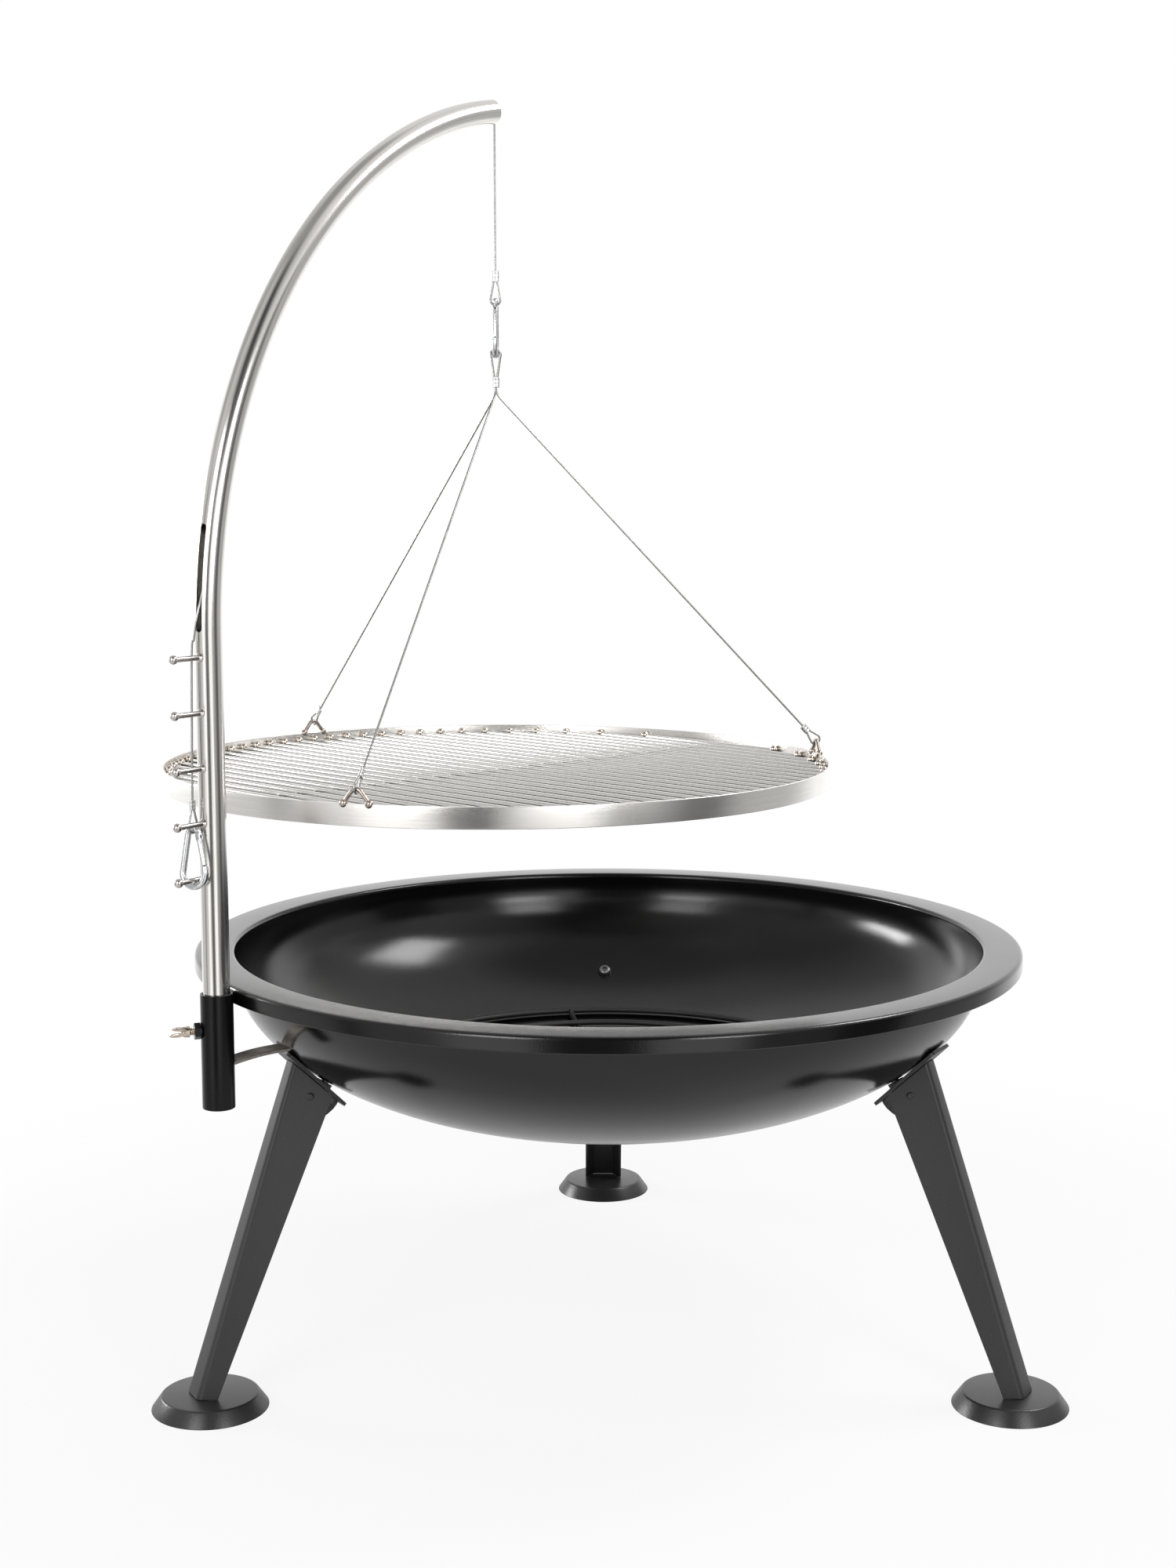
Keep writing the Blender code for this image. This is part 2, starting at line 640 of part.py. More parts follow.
def build_mount_plate(name, azimuth, stand):
    outline = rounded_rectangle(plate_half_length(), PLATE_HALF_WIDTH, PLATE_CORNER)
    plate = prism(name, outline, PLATE_THICKNESS, plate_matrix(azimuth), "paint", stand)
    inset = LEG_SHEET + LUG_CLEARANCE
    lugs = []
    for side in (1, -1):
        rivet = rivet_matrix(azimuth, side)
        depth = plate_distance(azimuth, rivet.translation)
        rise = -(plate_matrix(azimuth).to_3x3() @ Vector((0, 0, 1))).dot(rivet.to_3x3().col[1])
        top = (depth - PLATE_THICKNESS + PAD_ROOT) / rise
        size = (2 * LUG_HALF_WIDTH, top + LUG_BELOW, SHEET)
        middle = Vector((0, 0.5 * (top - LUG_BELOW), -inset - 0.5 * SHEET))
        lugs.append((size, rivet @ Matrix.Translation(middle)))
    apply_boolean(plate, block_cutter(name + "_lugs", lugs, stand), "UNION")
    bolt = bolt_matrix(azimuth)
    pads = bmesh.new()
    sloped_disc(pads, PAD_RADIUS, 18, lambda x, y: SPACER_GAP,
                plate_height_on_bolt(azimuth, PAD_ROOT), bolt)
    seat = nut_seat(azimuth)
    sloped_disc(pads, PAD_RADIUS, 18, plate_height_on_bolt(azimuth, PLATE_THICKNESS - PAD_ROOT),
                lambda x, y: seat, bolt)
    apply_boolean(plate, as_cutter(name + "_pads", mesh_from(pads, name + "_pads"), stand), "UNION")
    apply_boolean(plate, as_cutter(name + "_strap", strap_mesh(azimuth), stand), "UNION")
    hole = cylinder_cutter(name + "_hole", PLATE_HOLE_RADIUS, 0.040, [bolt], stand)
    apply_boolean(plate, hole)
    holes = [rivet_matrix(azimuth, side) for side in (1, -1)]
    apply_boolean(plate, cylinder_cutter(name + "_rivet_holes", RIVET_HOLE_RADIUS, 0.016, holes,
                                         stand, 12))


def strap_mesh(azimuth):
    # A flat strip from the plate's inner end, in an arc, to the inside of the channel's back.
    start = plate_matrix(azimuth) @ Vector((-plate_half_length() + 0.0045, 0,
                                            PLATE_THICKNESS - PAD_ROOT))
    end_u = LEG_BACK_U + (LEG_BACK_Z - STRAP_END_Z) * LEG_BACK_SLOPE - LEG_SHEET - 0.0014
    end = polar(azimuth, end_u, STRAP_END_Z)
    pull = polar(azimuth, *STRAP_PULL)
    line = []
    for k in range(9):
        t = k / 8
        line.append(start * (1 - t) ** 2 + pull * 2 * t * (1 - t) + end * t ** 2)
    side = across(azimuth)
    shape = bmesh.new()
    rows = []
    for i, place in enumerate(line):
        before = line[max(i - 1, 0)]
        after = line[min(i + 1, len(line) - 1)]
        normal = (after - before).normalized().cross(side)
        rows.append([shape.verts.new(place + side * a * STRAP_HALF_WIDTH
                                     + normal * b * STRAP_THICKNESS / 2)
                     for a, b in ((1, 1), (1, -1), (-1, -1), (-1, 1))])
    for a, b in zip(rows, rows[1:]):
        for k in range(4):
            shape.faces.new((a[k], a[(k + 1) % 4], b[(k + 1) % 4], b[k]))
    shape.faces.new(rows[0])
    shape.faces.new(rows[-1])
    return mesh_from(shape, "strap")


def build_bolt(name, azimuth, stand):
    start = nut_seat(azimuth) + GAP
    shank_end = start + NUT_HEIGHT + 0.0022
    seat = -SHEET - FACET_GAP
    head_top = seat - BOLT_HEAD_HEIGHT
    socket = head_top + 0.0020
    profile = [(0.0, shank_end), (BOLT_RADIUS - 0.0006, shank_end), (BOLT_RADIUS, shank_end - 0.0006),
               (BOLT_RADIUS, seat), (BOLT_HEAD_RADIUS, seat), (BOLT_HEAD_RADIUS, seat - 0.0010),
               (BOLT_HEAD_RADIUS * 0.86, seat - 0.0028), (BOLT_HEAD_RADIUS * 0.60, head_top),
               (BOLT_SOCKET_RADIUS, head_top), (BOLT_SOCKET_RADIUS, socket), (0.0, socket)]
    bolt = bolt_matrix(azimuth)
    turned("bowl_bolt_" + name, profile, 16, "zinc", stand, bolt)
    hexagon_nut("bolt_nut_" + name, BOLT_RADIUS + GAP, start, NUT_HEIGHT, bolt, "zinc", stand)


def build_rivets(name, azimuth, stand):
    inside = -(LEG_SHEET + LUG_CLEARANCE + SHEET + GAP)
    profile = [(0.0, GAP + RIVET_HEAD_HEIGHT), (RIVET_HEAD_RADIUS * 0.6, GAP + RIVET_HEAD_HEIGHT * 0.85),
               (RIVET_HEAD_RADIUS, GAP + 0.0004), (RIVET_HEAD_RADIUS, GAP), (RIVET_RADIUS, GAP),
               (RIVET_RADIUS, inside), (RIVET_HEAD_RADIUS * 0.8, inside),
               (RIVET_HEAD_RADIUS * 0.7, inside - 0.0012), (0.0, inside - 0.0012)]
    for side, word in ((1, "a"), (-1, "b")):
        turned("rivet_%s_%s" % (name, word), profile, 10, "paint", stand, rivet_matrix(azimuth, side))


def build_coal_grate(stand):
    # Two crossed bars, their ends bent up, with four rings welded on top.
    slope = atan(bowl_slope(COAL_RING_RADII[0], True))
    height = bowl_height(COAL_RING_RADII[0], True) + (COAL_WIRE + GAP + FACET_GAP) / cos(slope)
    bar_z = height - 2 * COAL_WIRE + COAL_WELD
    half = [(COAL_RING_RADII[0] - 0.0012, height), (COAL_RING_RADII[0] - 0.0115, bar_z + 0.0014),
            (COAL_RING_RADII[0] - 0.0240, bar_z)]
    bars = []
    for azimuth in COAL_BAR_AZIMUTHS:
        ends = [polar(azimuth, r, z) for r, z in half]
        far_ends = [polar(azimuth + 180.0, r, z) for r, z in reversed(half)]
        bars.append(ends + far_ends)
    grate = swept("charcoal_grate", bars[:1], COAL_WIRE, 1, "wire", stand)
    bar = sweep_mesh("coal_bar", bars[1:], COAL_WIRE, 1)
    apply_boolean(grate, as_cutter("coal_bar", bar, stand), "UNION")
    rings = [[Vector((r * cos(2 * pi * k / COAL_SEGMENTS), r * sin(2 * pi * k / COAL_SEGMENTS), height))
              for k in range(COAL_SEGMENTS)] for r in COAL_RING_RADII]
    ring_mesh = sweep_mesh("coal_rings", rings, COAL_WIRE, 1, cyclic=True)
    apply_boolean(grate, as_cutter("coal_rings", ring_mesh, stand), "UNION")


def pole_axis():
    return polar(SLEEVE_AZIMUTH, RIM_RADIUS + SLEEVE_RADIUS + GAP)


def arm_place(reach, off, height):
    # A place beside the pole: reach along the arm's plane, off to its left, and a height.
    place = pole_axis() + polar(ARM_AZIMUTH, reach) + across(ARM_AZIMUTH) * off
    place.z = height
    return place


def side_matrix(azimuth, height):
    # Origin on the pole's axis, Z level and outward along an azimuth, Y up.
    out = polar(azimuth, 1.0)
    up = Vector((0, 0, 1))
    origin = pole_axis()
    origin.z = height
    return frame_matrix(origin, up.cross(out), up, out)


def build_sleeve(stand):
    edge = 0.0012
    profile = [(SLEEVE_BORE, SLEEVE_BOTTOM), (SLEEVE_RADIUS - edge, SLEEVE_BOTTOM),
               (SLEEVE_RADIUS, SLEEVE_BOTTOM + edge), (SLEEVE_RADIUS, SLEEVE_TOP - 0.0005),
               (SLEEVE_RADIUS - 0.0005, SLEEVE_TOP), (SLEEVE_BORE, SLEEVE_TOP)]
    at_pole = Matrix.Translation(pole_axis())
    sleeve = turned("pole_sleeve", profile, 32, "paint", stand, at_pole)
    hole = side_matrix(SCREW_AZIMUTH, SCREW_Z) @ Matrix.Translation((0, 0, SLEEVE_RADIUS))
    apply_boolean(sleeve, cylinder_cutter("sleeve_hole", SCREW_HOLE_RADIUS, 0.012, [hole], stand))
    floor = SLEEVE_BORE - GAP
    bottom = SLEEVE_BOTTOM + 0.0003
    disc = [(0.0, bottom), (floor, bottom), (floor, bottom + SLEEVE_FLOOR), (0.0, bottom + SLEEVE_FLOOR)]
    turned("sleeve_floor", disc, 32, "paint", stand, at_pole)


def build_brace(stand):
    # A flat bar from the sleeve's side to the bowl's wall, coped at both ends.
    inward = -polar(SLEEVE_AZIMUTH, 1.0)
    side = across(SLEEVE_AZIMUTH)
    start = pole_axis()
    wall = BOWL_OUTER_RADIUS * sqrt(1 - ((BOWL_EDGE_Z - BRACE_BOWL_Z) / BOWL_OUTER_DEPTH) ** 2)
    shape = bmesh.new()
    grid = []
    for j in range(5):
        off = BRACE_HALF_WIDTH * (j - 2) / 2
        near = sqrt((SLEEVE_RADIUS + GAP) ** 2 - off ** 2)
        far = start.length - sqrt((wall + 0.0016) ** 2 - off ** 2)
        line = []
        for i in range(7):
            t = i / 6
            height = BRACE_SLEEVE_Z + (BRACE_BOWL_Z - BRACE_SLEEVE_Z) * t + 0.0015 * sin(pi * t)
            place = start + inward * (near + (far - near) * t) + side * off
            line.append([shape.verts.new((place.x, place.y, height + h * BRACE_THICKNESS / 2))
                         for h in (1, -1)])
        grid.append(line)
    for j in range(4):
        for i in range(6):
            for h in (0, 1):
                shape.faces.new((grid[j][i][h], grid[j + 1][i][h], grid[j + 1][i + 1][h],
                                 grid[j][i + 1][h]))
        for i in (0, 6):
            shape.faces.new((grid[j][i][0], grid[j + 1][i][0], grid[j + 1][i][1], grid[j][i][1]))
    for i in range(6):
        for j in (0, 4):
            shape.faces.new((grid[j][i][0], grid[j][i + 1][0], grid[j][i + 1][1], grid[j][i][1]))
    finish_object("sleeve_brace", mesh_from(shape, "sleeve_brace"), "paint", stand)


def build_clamp(stand, screw_travel, wing_turn):
    axis = side_matrix(SCREW_AZIMUTH, SCREW_Z)
    hexagon_nut("clamp_nut", CLAMP_NUT_BORE, SLEEVE_RADIUS + GAP, CLAMP_NUT_HEIGHT, axis, "paint",
                stand)
    shank = [(0.0, SCREW_TIP), (SCREW_RADIUS - 0.0008, SCREW_TIP), (SCREW_RADIUS, SCREW_TIP + 0.0008),
             (SCREW_RADIUS, SCREW_HUB_START - GAP), (0.0, SCREW_HUB_START - GAP)]
    turned("wing_screw_shank", shank, 16, "steel", screw_travel, axis)
    hub = [(0.0, SCREW_HUB_START), (SCREW_HUB_RADIUS, SCREW_HUB_START),
           (SCREW_HUB_RADIUS, SCREW_HUB_START + 0.0040), (SCREW_HUB_RADIUS * 0.6, SCREW_HUB_END),
           (0.0, SCREW_HUB_END)]
    head = turned("wing_screw_head", hub, 16, "steel", wing_turn, axis)
    turn = axis @ Matrix.Rotation(radians(WING_TURN), 4, "Z")
    wings = bmesh.new()
    for side in (1, -1):
        outline = [(0.0010, 0.0006), (0.0060, 0.0006), (0.0105, 0.0040), (WING_SPAN, 0.0110),
                   (WING_SPAN - 0.0004, 0.0145), (0.0110, SCREW_HUB_END - SCREW_HUB_START + WING_REACH),
                   (0.0078, 0.0160), (0.0052, 0.0095), (0.0030, 0.0062), (0.0010, 0.0062)]
        local = turn @ Matrix(((side, 0, 0, 0), (0, 0, 1, -WING_THICKNESS / 2),
                               (0, 1, 0, SCREW_HUB_START), (0, 0, 0, 1)))
        prism_bmesh(wings, outline, WING_THICKNESS, local)
    cutter = as_cutter("wings", mesh_from(wings, "wings"), wing_turn)
    apply_boolean(head, cutter, "UNION")


def pole_path(extra=0.0):
    floor_top = SLEEVE_BOTTOM + 0.0003 + SLEEVE_FLOOR
    path = [arm_place(0, 0, floor_top + GAP - extra), arm_place(0, 0, 0.5 * BEND_START_Z)]
    for k in range(BEND_STEPS + 1):
        turn = radians(BEND_ANGLE) * k / BEND_STEPS
        path.append(arm_place(BEND_RADIUS * (1 - cos(turn)), 0, BEND_START_Z + BEND_RADIUS * sin(turn)))
    if extra:
        last, before = path[-1], path[-2]
        path.append(last + (last - before).normalized() * extra)
    return path


def build_pole(pole):
    tube = swept("pole_tube", [pole_path()], POLE_RADIUS, POLE_SIDES_RESOLUTION, "steel", pole)
    bore = sweep_mesh("pole_bore", [pole_path(0.01)], POLE_RADIUS - POLE_WALL, POLE_SIDES_RESOLUTION)
    apply_boolean(tube, as_cutter("pole_bore", bore, pole))
    half = 0.5 * (SLOT_TOP - SLOT_BOTTOM)
    lean = atan2(SLOT_LEAN, SLOT_TOP - SLOT_BOTTOM)
    outline = [(SLOT_HALF_WIDTH * cos(a), s * (half - SLOT_HALF_WIDTH) + SLOT_HALF_WIDTH * sin(a))
               for s, turns in ((1, range(0, 181, 30)), (-1, range(180, 361, 30)))
               for a in [radians(t) for t in turns]]
    out = -polar(ARM_AZIMUTH, 1.0)
    up = Vector((0, 0, 1)) * cos(lean) + polar(ARM_AZIMUTH, 1.0) * sin(lean)
    side = up.cross(out)
    middle = arm_place(-0.0075, 0, 0.5 * (SLOT_TOP + SLOT_BOTTOM)) - out * 0.0040
    whole = bmesh.new()
    prism_bmesh(whole, outline, 0.0150, frame_matrix(middle, side, up, side.cross(up)))
    apply_boolean(tube, as_cutter("pole_slot", mesh_from(whole, "pole_slot"), pole))
    for number, height in enumerate(PEG_HEIGHTS, 1):
        build_peg("hook_peg_%d" % number, height, pole)


def build_peg(name, height, pole):
    root = POLE_RADIUS + GAP
    ball = []
    neck = asin(PEG_RADIUS / PEG_BALL_RADIUS)
    for k in range(6):
        turn = pi - neck - (pi - neck) * k / 5
        ball.append((PEG_BALL_RADIUS * sin(turn), PEG_BALL_REACH + PEG_BALL_RADIUS * cos(turn)))
    profile = [(0.0, root), (PEG_COLLAR_RADIUS, root), (PEG_RADIUS, root + PEG_COLLAR_LENGTH)] + ball
    profile[-1] = (0.0, PEG_BALL_REACH + PEG_BALL_RADIUS)
    turned(name, profile, 10, "steel", pole, side_matrix(ARM_AZIMUTH + 180.0, height))


def rope_run_path():
    # From below the slot, up through it, along the inside of the bend and over the mouth's lower lip.
    slope_start = 19.3
    path = [arm_place(-0.0148, 0.0029, TAIL_TOP + GAP), arm_place(-0.0146, 0.0014, 0.7100),
            arm_place(-0.0134, 0.0004, 0.7185), arm_place(-0.0105, 0.0, 0.7275)]
    steps = 16
    for k in range(steps + 1):
        turn = radians(slope_start + (BEND_ANGLE - 1.0 - slope_start) * k / steps)
        path.append(arm_place(BEND_RADIUS - WIRE_RUN_RADIUS * cos(turn), 0,
                              BEND_START_Z + WIRE_RUN_RADIUS * sin(turn)))
    for k in range(1, 7):
        turn = radians(96.0 * (1 - k / 6))
        path.append(arm_place(LIP_CENTRE_REACH + LIP_BEND * cos(turn), 0,
                              LIP_CENTRE_Z + LIP_BEND * sin(turn)))
    path.append(arm_place(WIRE_REACH, 0, DROP_TOP + GAP))
    return path


def hang_place(height):
    return arm_place(WIRE_REACH, 0, height)


def ferrule_outline(width=FERRULE_HALF_WIDTH, thickness=FERRULE_HALF_THICKNESS):
    return [(width * cos(2 * pi * k / 12), thickness * sin(2 * pi * k / 12)) for k in range(12)]


def loop_path(start, direction, side, length, half_width):
    # A rope eye: two legs leave the ferrule side by side and meet round an arc.
    points = [start + side * LOOP_LEG_HALF]
    centre = length - half_width
    for k in range(9):
        turn = radians(-25.0 + 230.0 * k / 8)
        points.append(start + side * half_width * cos(turn)
                      + direction * (centre + half_width * sin(turn)))
    points.append(start - side * LOOP_LEG_HALF)
    return points


def carabiner_points(length):
    # Centre line in a flat frame: X towards the gate, Y up, top bar's centre at the origin.
    spread = length - CARABINER_WIDE - CARABINER_NARROW
    beta = asin((CARABINER_WIDE - CARABINER_NARROW) / spread)
    top = Vector((0.0, -CARABINER_NARROW))
    bottom = Vector((0.0, CARABINER_WIDE - length))
    normal = Vector((cos(beta), sin(beta)))
    down = Vector((sin(beta), -cos(beta)))
    pivot = top + normal * CARABINER_NARROW + down * GATE_PIVOT_DROP
    points = [pivot + down * 0.0022]
    for k in range(9):
        turn = beta + (pi - 2 * beta) * k / 8
        points.append(top + Vector((cos(turn), sin(turn))) * CARABINER_NARROW)
    for k in range(13):
        turn = pi - beta + (pi + 2 * beta) * k / 12
        points.append(bottom + Vector((cos(turn), sin(turn))) * CARABINER_WIDE)
    nose = points[-1] - down * NOSE_LENGTH
    points.append(nose)
    return points, pivot, down, nose


def build_carabiner(prefix, overall, matrix, body, gate_body):
    # matrix maps the flat frame into the grill's own frame; its Z is square to the ring.
    points, pivot, down, nose = carabiner_points(overall)
    path = [Vector((p.x, p.y, 0.0)) for p in points]
    ring = swept(prefix + "_carabiner", [path], CARABINER_WIRE, 2, "zinc", body, matrix=matrix)
    turn = atan2(down.x, -down.y)
    at_pivot = matrix @ Matrix.Translation((pivot.x, pivot.y, 0)) @ Matrix.Rotation(turn, 4, "Z")
    cheeks = [((0.012, 0.0090, 0.0040), at_pivot @ Matrix.Translation((0, -0.0012, s * 0.0030)))
              for s in (1, -1)]
    apply_boolean(ring, block_cutter(prefix + "_tongue_cut", cheeks, body))
    apply_boolean(ring, cylinder_cutter(prefix + "_pin", GATE_PIN_RADIUS, 0.0044, [at_pivot], body,
                                        10), "UNION")
    length = (Vector((nose.x, nose.y)) - pivot).length - 0.0004
    bar = [Vector((0, 0.0022, 0)), Vector((0, -length, 0))]
    gate = swept(prefix + "_gate", [bar], GATE_RADIUS, 2, "zinc", gate_body, matrix=at_pivot)
    slot = [((0.012, 0.0072, 0.0026), at_pivot @ Matrix.Translation((0, -0.0008, 0)))]
    apply_boolean(gate, block_cutter(prefix + "_gate_slot", slot, gate_body))
    apply_boolean(gate, cylinder_cutter(prefix + "_gate_hole", GATE_HOLE_RADIUS, 0.012,
                                        [at_pivot], gate_body, 10))


def build_eye(name, path, ferrule, length, body):
    # A rope eye with its crimped ferrule; ferrule maps the sleeve's flat frame into the grill's.
    eye = swept(name, [path], WIRE_RADIUS, 1, "steel", body)
    shape = bmesh.new()
    prism_bmesh(shape, ferrule_outline(), length, ferrule)
    sleeve = as_cutter(name + "_ferrule", mesh_from(shape, name + "_ferrule"), body)
    apply_boolean(eye, sleeve, "UNION")


def upper_carabiner_matrix():
    # The ring hangs in the plane of Y and Z, with its gate to the front.
    return frame_matrix(hang_place(UPPER_BAR_Z), Vector((0, -1, 0)), Vector((0, 0, 1)),
                        Vector((-1, 0, 0)))


def lower_carabiner_matrix():
    # The ring's lowest point lies under the lowest peg, which bears on it from above.
    lean = radians(TAIL_LEAN)
    tilt = radians(TAIL_TILT)
    level = polar(TAIL_AZIMUTH, 1.0)
    upright = Vector((0, 0, 1)) * cos(tilt) + across(TAIL_AZIMUTH) * sin(tilt)
    up = upright * cos(lean) - level * sin(lean)
    gate_side = level * cos(lean) + upright * sin(lean)
    bearing = PEG_HEIGHTS[0] - PEG_RADIUS - CARABINER_WIRE - GAP
    top = arm_place(TAIL_REACH, 0, bearing) + up * LOWER_LENGTH
    return frame_matrix(top, gate_side, up, gate_side.cross(up))


def upper_loop_matrix_points():
    start = hang_place(UPPER_FERRULE_BOTTOM - GAP)
    length = start.z - (UPPER_BAR_Z - CARABINER_HOLD)
    return loop_path(start, Vector((0, 0, -1)), Vector((1, 0, 0)), length, LOOP_HALF_WIDTH)


def build_hoist(drop, lift, swivel, hook, gate_body):
    swept("drop_wire", [[hang_place(DROP_TOP), hang_place(UPPER_FERRULE_TOP + GAP)]], WIRE_RADIUS, 2,
          "steel", drop)
    ferrule_matrix = frame_matrix(hang_place(UPPER_FERRULE_BOTTOM), Vector((1, 0, 0)),
                                  Vector((0, 1, 0)), Vector((0, 0, 1)))
    prism("upper_ferrule", ferrule_outline(), UPPER_FERRULE_TOP - UPPER_FERRULE_BOTTOM,
          ferrule_matrix, "aluminium", lift, 50.0)
    swept("upper_loop", [upper_loop_matrix_points()], WIRE_RADIUS, 1, "steel", swivel)
    build_carabiner("upper", UPPER_LENGTH, upper_carabiner_matrix(), hook, gate_body)


def build_tail(tail, gate_body):
    ring = lower_carabiner_matrix()
    hooked = ring @ Vector((0, -CARABINER_HOLD, 0))
    above = Vector((hooked.x, hooked.y, 0))
    up = Vector((0, 0, 1))
    path = [arm_place(-0.0148, 0.0029, TAIL_TOP), arm_place(-0.0153, 0.0056, PEG_HEIGHTS[4]),
            above + up * (TAIL_FERRULE_TOP + GAP)]
    swept("tail_wire", [path], WIRE_RADIUS, 2, "steel", tail)
    along = polar(TAIL_AZIMUTH + 90.0, 1.0)
    matrix = frame_matrix(above + up * TAIL_FERRULE_BOTTOM, along, up.cross(along), up)
    start = above + up * (TAIL_FERRULE_BOTTOM + EYE_ROOT)
    path = loop_path(start, -up, along, start.z - hooked.z, TAIL_LOOP_HALF_WIDTH)
    build_eye("tail_eye", path, matrix, TAIL_FERRULE_TOP - TAIL_FERRULE_BOTTOM, tail)
    build_carabiner("lower", LOWER_LENGTH, ring, tail, gate_body)


def grate_centre(height=0.0):
    return hang_place(height)


def grate_place(azimuth, reach, side, height):
    return grate_centre(height) + polar(azimuth, reach) + across(azimuth) * side


def build_grate(grate):
    inner = GRATE_RADIUS - GRATE_BAND
    top = GRATE_BOTTOM + GRATE_BAND_HEIGHT
    profile = [(inner, GRATE_BOTTOM), (GRATE_RADIUS, GRATE_BOTTOM), (GRATE_RADIUS, top), (inner, top)]
    turned("grate_band", profile, GRATE_SEGMENTS, "steel", grate,
           Matrix.Translation(grate_centre()))
    limit = inner - BAND_CLEARANCE
    rods = []
    along = polar(ROD_AZIMUTH, 1.0)
    side = across(ROD_AZIMUTH)
    for k in range(-ROD_COUNT_EACH_SIDE, ROD_COUNT_EACH_SIDE + 1):
        off = k * ROD_PITCH
        reach = sqrt(limit ** 2 - (abs(off) + ROD_RADIUS) ** 2)
        middle = grate_centre(ROD_Z) + side * off
        rods.append([middle - along * reach, middle + along * reach])
    bar_z = ROD_Z - ROD_RADIUS - CROSS_BAR_RADIUS + ROD_WELD
    reach = sqrt(limit ** 2 - CROSS_BAR_RADIUS ** 2)
    middle = grate_centre(bar_z)
    bars = swept("grate_bars", [[middle - side * reach, middle + side * reach]], CROSS_BAR_RADIUS, 3,
                 "steel", grate)
    rod_mesh = sweep_mesh("rods", rods, ROD_RADIUS, 2)
    apply_boolean(bars, as_cutter("rods", rod_mesh, grate), "UNION")


def bail_path(azimuth):
    # A round-topped arch that stands on the band's top edge.
    centre_z = BAIL_APEX_Z - BAIL_TOP_RADIUS
    foot = Vector((BAIL_HALF_WIDTH, BAIL_FOOT_Z - centre_z))
    tangent = atan2(foot.y, foot.x) + acos(BAIL_TOP_RADIUS / foot.length)
    half = [(foot.x, BAIL_FOOT_Z)]
    for k in range(5):
        turn = tangent + (0.5 * pi - tangent) * k / 4
        half.append((BAIL_TOP_RADIUS * cos(turn), centre_z + BAIL_TOP_RADIUS * sin(turn)))
    path = [grate_place(azimuth, BAIL_REACH, s, z) for s, z in half]
    path += [grate_place(azimuth, BAIL_REACH, -s, z) for s, z in reversed(half[:-1])]
    return path


def build_bail(name, azimuth, grate):
    # The arch and its two weld beads, cut to stand astride the band with a gap.
    bail = swept("bail_" + name, [bail_path(azimuth)], BAIL_RADIUS, 2, "steel", grate)
    edge = GRATE_BOTTOM + GRATE_BAND_HEIGHT
    for side, end in ((1, "a"), (-1, "b")):
        bead = bmesh.new()
        place = Matrix.Translation(grate_place(azimuth, BAIL_REACH, side * BAIL_HALF_WIDTH, edge))
        bmesh.ops.create_uvsphere(bead, u_segments=12, v_segments=8, radius=BAIL_BEAD_RADIUS,
                                  matrix=place)
        label = "bead_" + name + "_" + end
        apply_boolean(bail, as_cutter(label, mesh_from(bead, label), grate), "UNION")
    inner = GRATE_RADIUS - GRATE_BAND - GAP
    outer = GRATE_RADIUS + GAP
    low = GRATE_BOTTOM - GAP
    ring = [(inner, low), (outer, low), (outer, edge + GAP), (inner, edge + GAP)]
    shape = bmesh.new()
    turned_bmesh(shape, ring, GRATE_SEGMENTS, Matrix.Translation(grate_centre()))
    apply_boolean(bail, as_cutter("edge_cut_" + name, mesh_from(shape, "edge_cut_" + name), grate))


def bridle_layer(name):
    # The three eyes sit side by side along the upper carabiner's wide bar.
    return BRIDLE_ORDER[name] * BRIDLE_SPACING


def bridle_line(name):
    # Ends of the rope's slanting stretch, and its direction downwards.
    apex = grate_place(BAIL_AZIMUTHS[name], BAIL_REACH, 0.0, BAIL_APEX_Z)
    start = hang_place(BRIDLE_FERRULE_BOTTOM - BRIDLE_BEND_DROP) + Vector((0, bridle_layer(name), 0))
    down = (apex - start).normalized()
    return apex, start, down


def build_bridle(name, azimuth, grate):
    up = Vector((0, 0, 1))
    wide_z = UPPER_BAR_Z - UPPER_LENGTH + CARABINER_WIDE
    shift = Vector((0, bridle_layer(name), 0))
    ferrule = frame_matrix(hang_place(BRIDLE_FERRULE_BOTTOM) + shift, Vector((1, 0, 0)),
                           Vector((0, 1, 0)), up)
    start = hang_place(BRIDLE_FERRULE_TOP - EYE_ROOT) + shift
    top = wide_z - sqrt((CARABINER_WIDE - CARABINER_HOLD) ** 2 - shift.y ** 2)
    eye = loop_path(start, up, Vector((1, 0, 0)), top - start.z, LOOP_HALF_WIDTH)
    build_eye("bridle_top_eye_" + name, eye, ferrule, BRIDLE_FERRULE_TOP - BRIDLE_FERRULE_BOTTOM, grate)
    apex, bend, down = bridle_line(name)
    hooked = apex + down * (BAIL_RADIUS + WIRE_RADIUS + GAP)
    end_start = hooked - down * LOWER_LOOP_LENGTH
    across_eye = down.cross(across(azimuth)).normalized()
    end_ferrule = frame_matrix(end_start - down * LOWER_FERRULE_LENGTH, across_eye,
                               down.cross(across_eye), down)
    end_eye = loop_path(end_start - down * EYE_ROOT, down, across_eye, LOWER_LOOP_LENGTH + EYE_ROOT,
                        LOOP_HALF_WIDTH)
    build_eye("bridle_end_eye_" + name, end_eye, end_ferrule, LOWER_FERRULE_LENGTH, grate)
    wire = [hang_place(BRIDLE_FERRULE_BOTTOM - GAP) + shift, bend + up * BRIDLE_BEND_HALF,
            bend + down * BRIDLE_BEND_HALF, end_ferrule.translation - down * GAP]
    swept("bridle_wire_" + name, [wire], WIRE_RADIUS, 2, "steel", grate)
    build_bail(name, azimuth, grate)


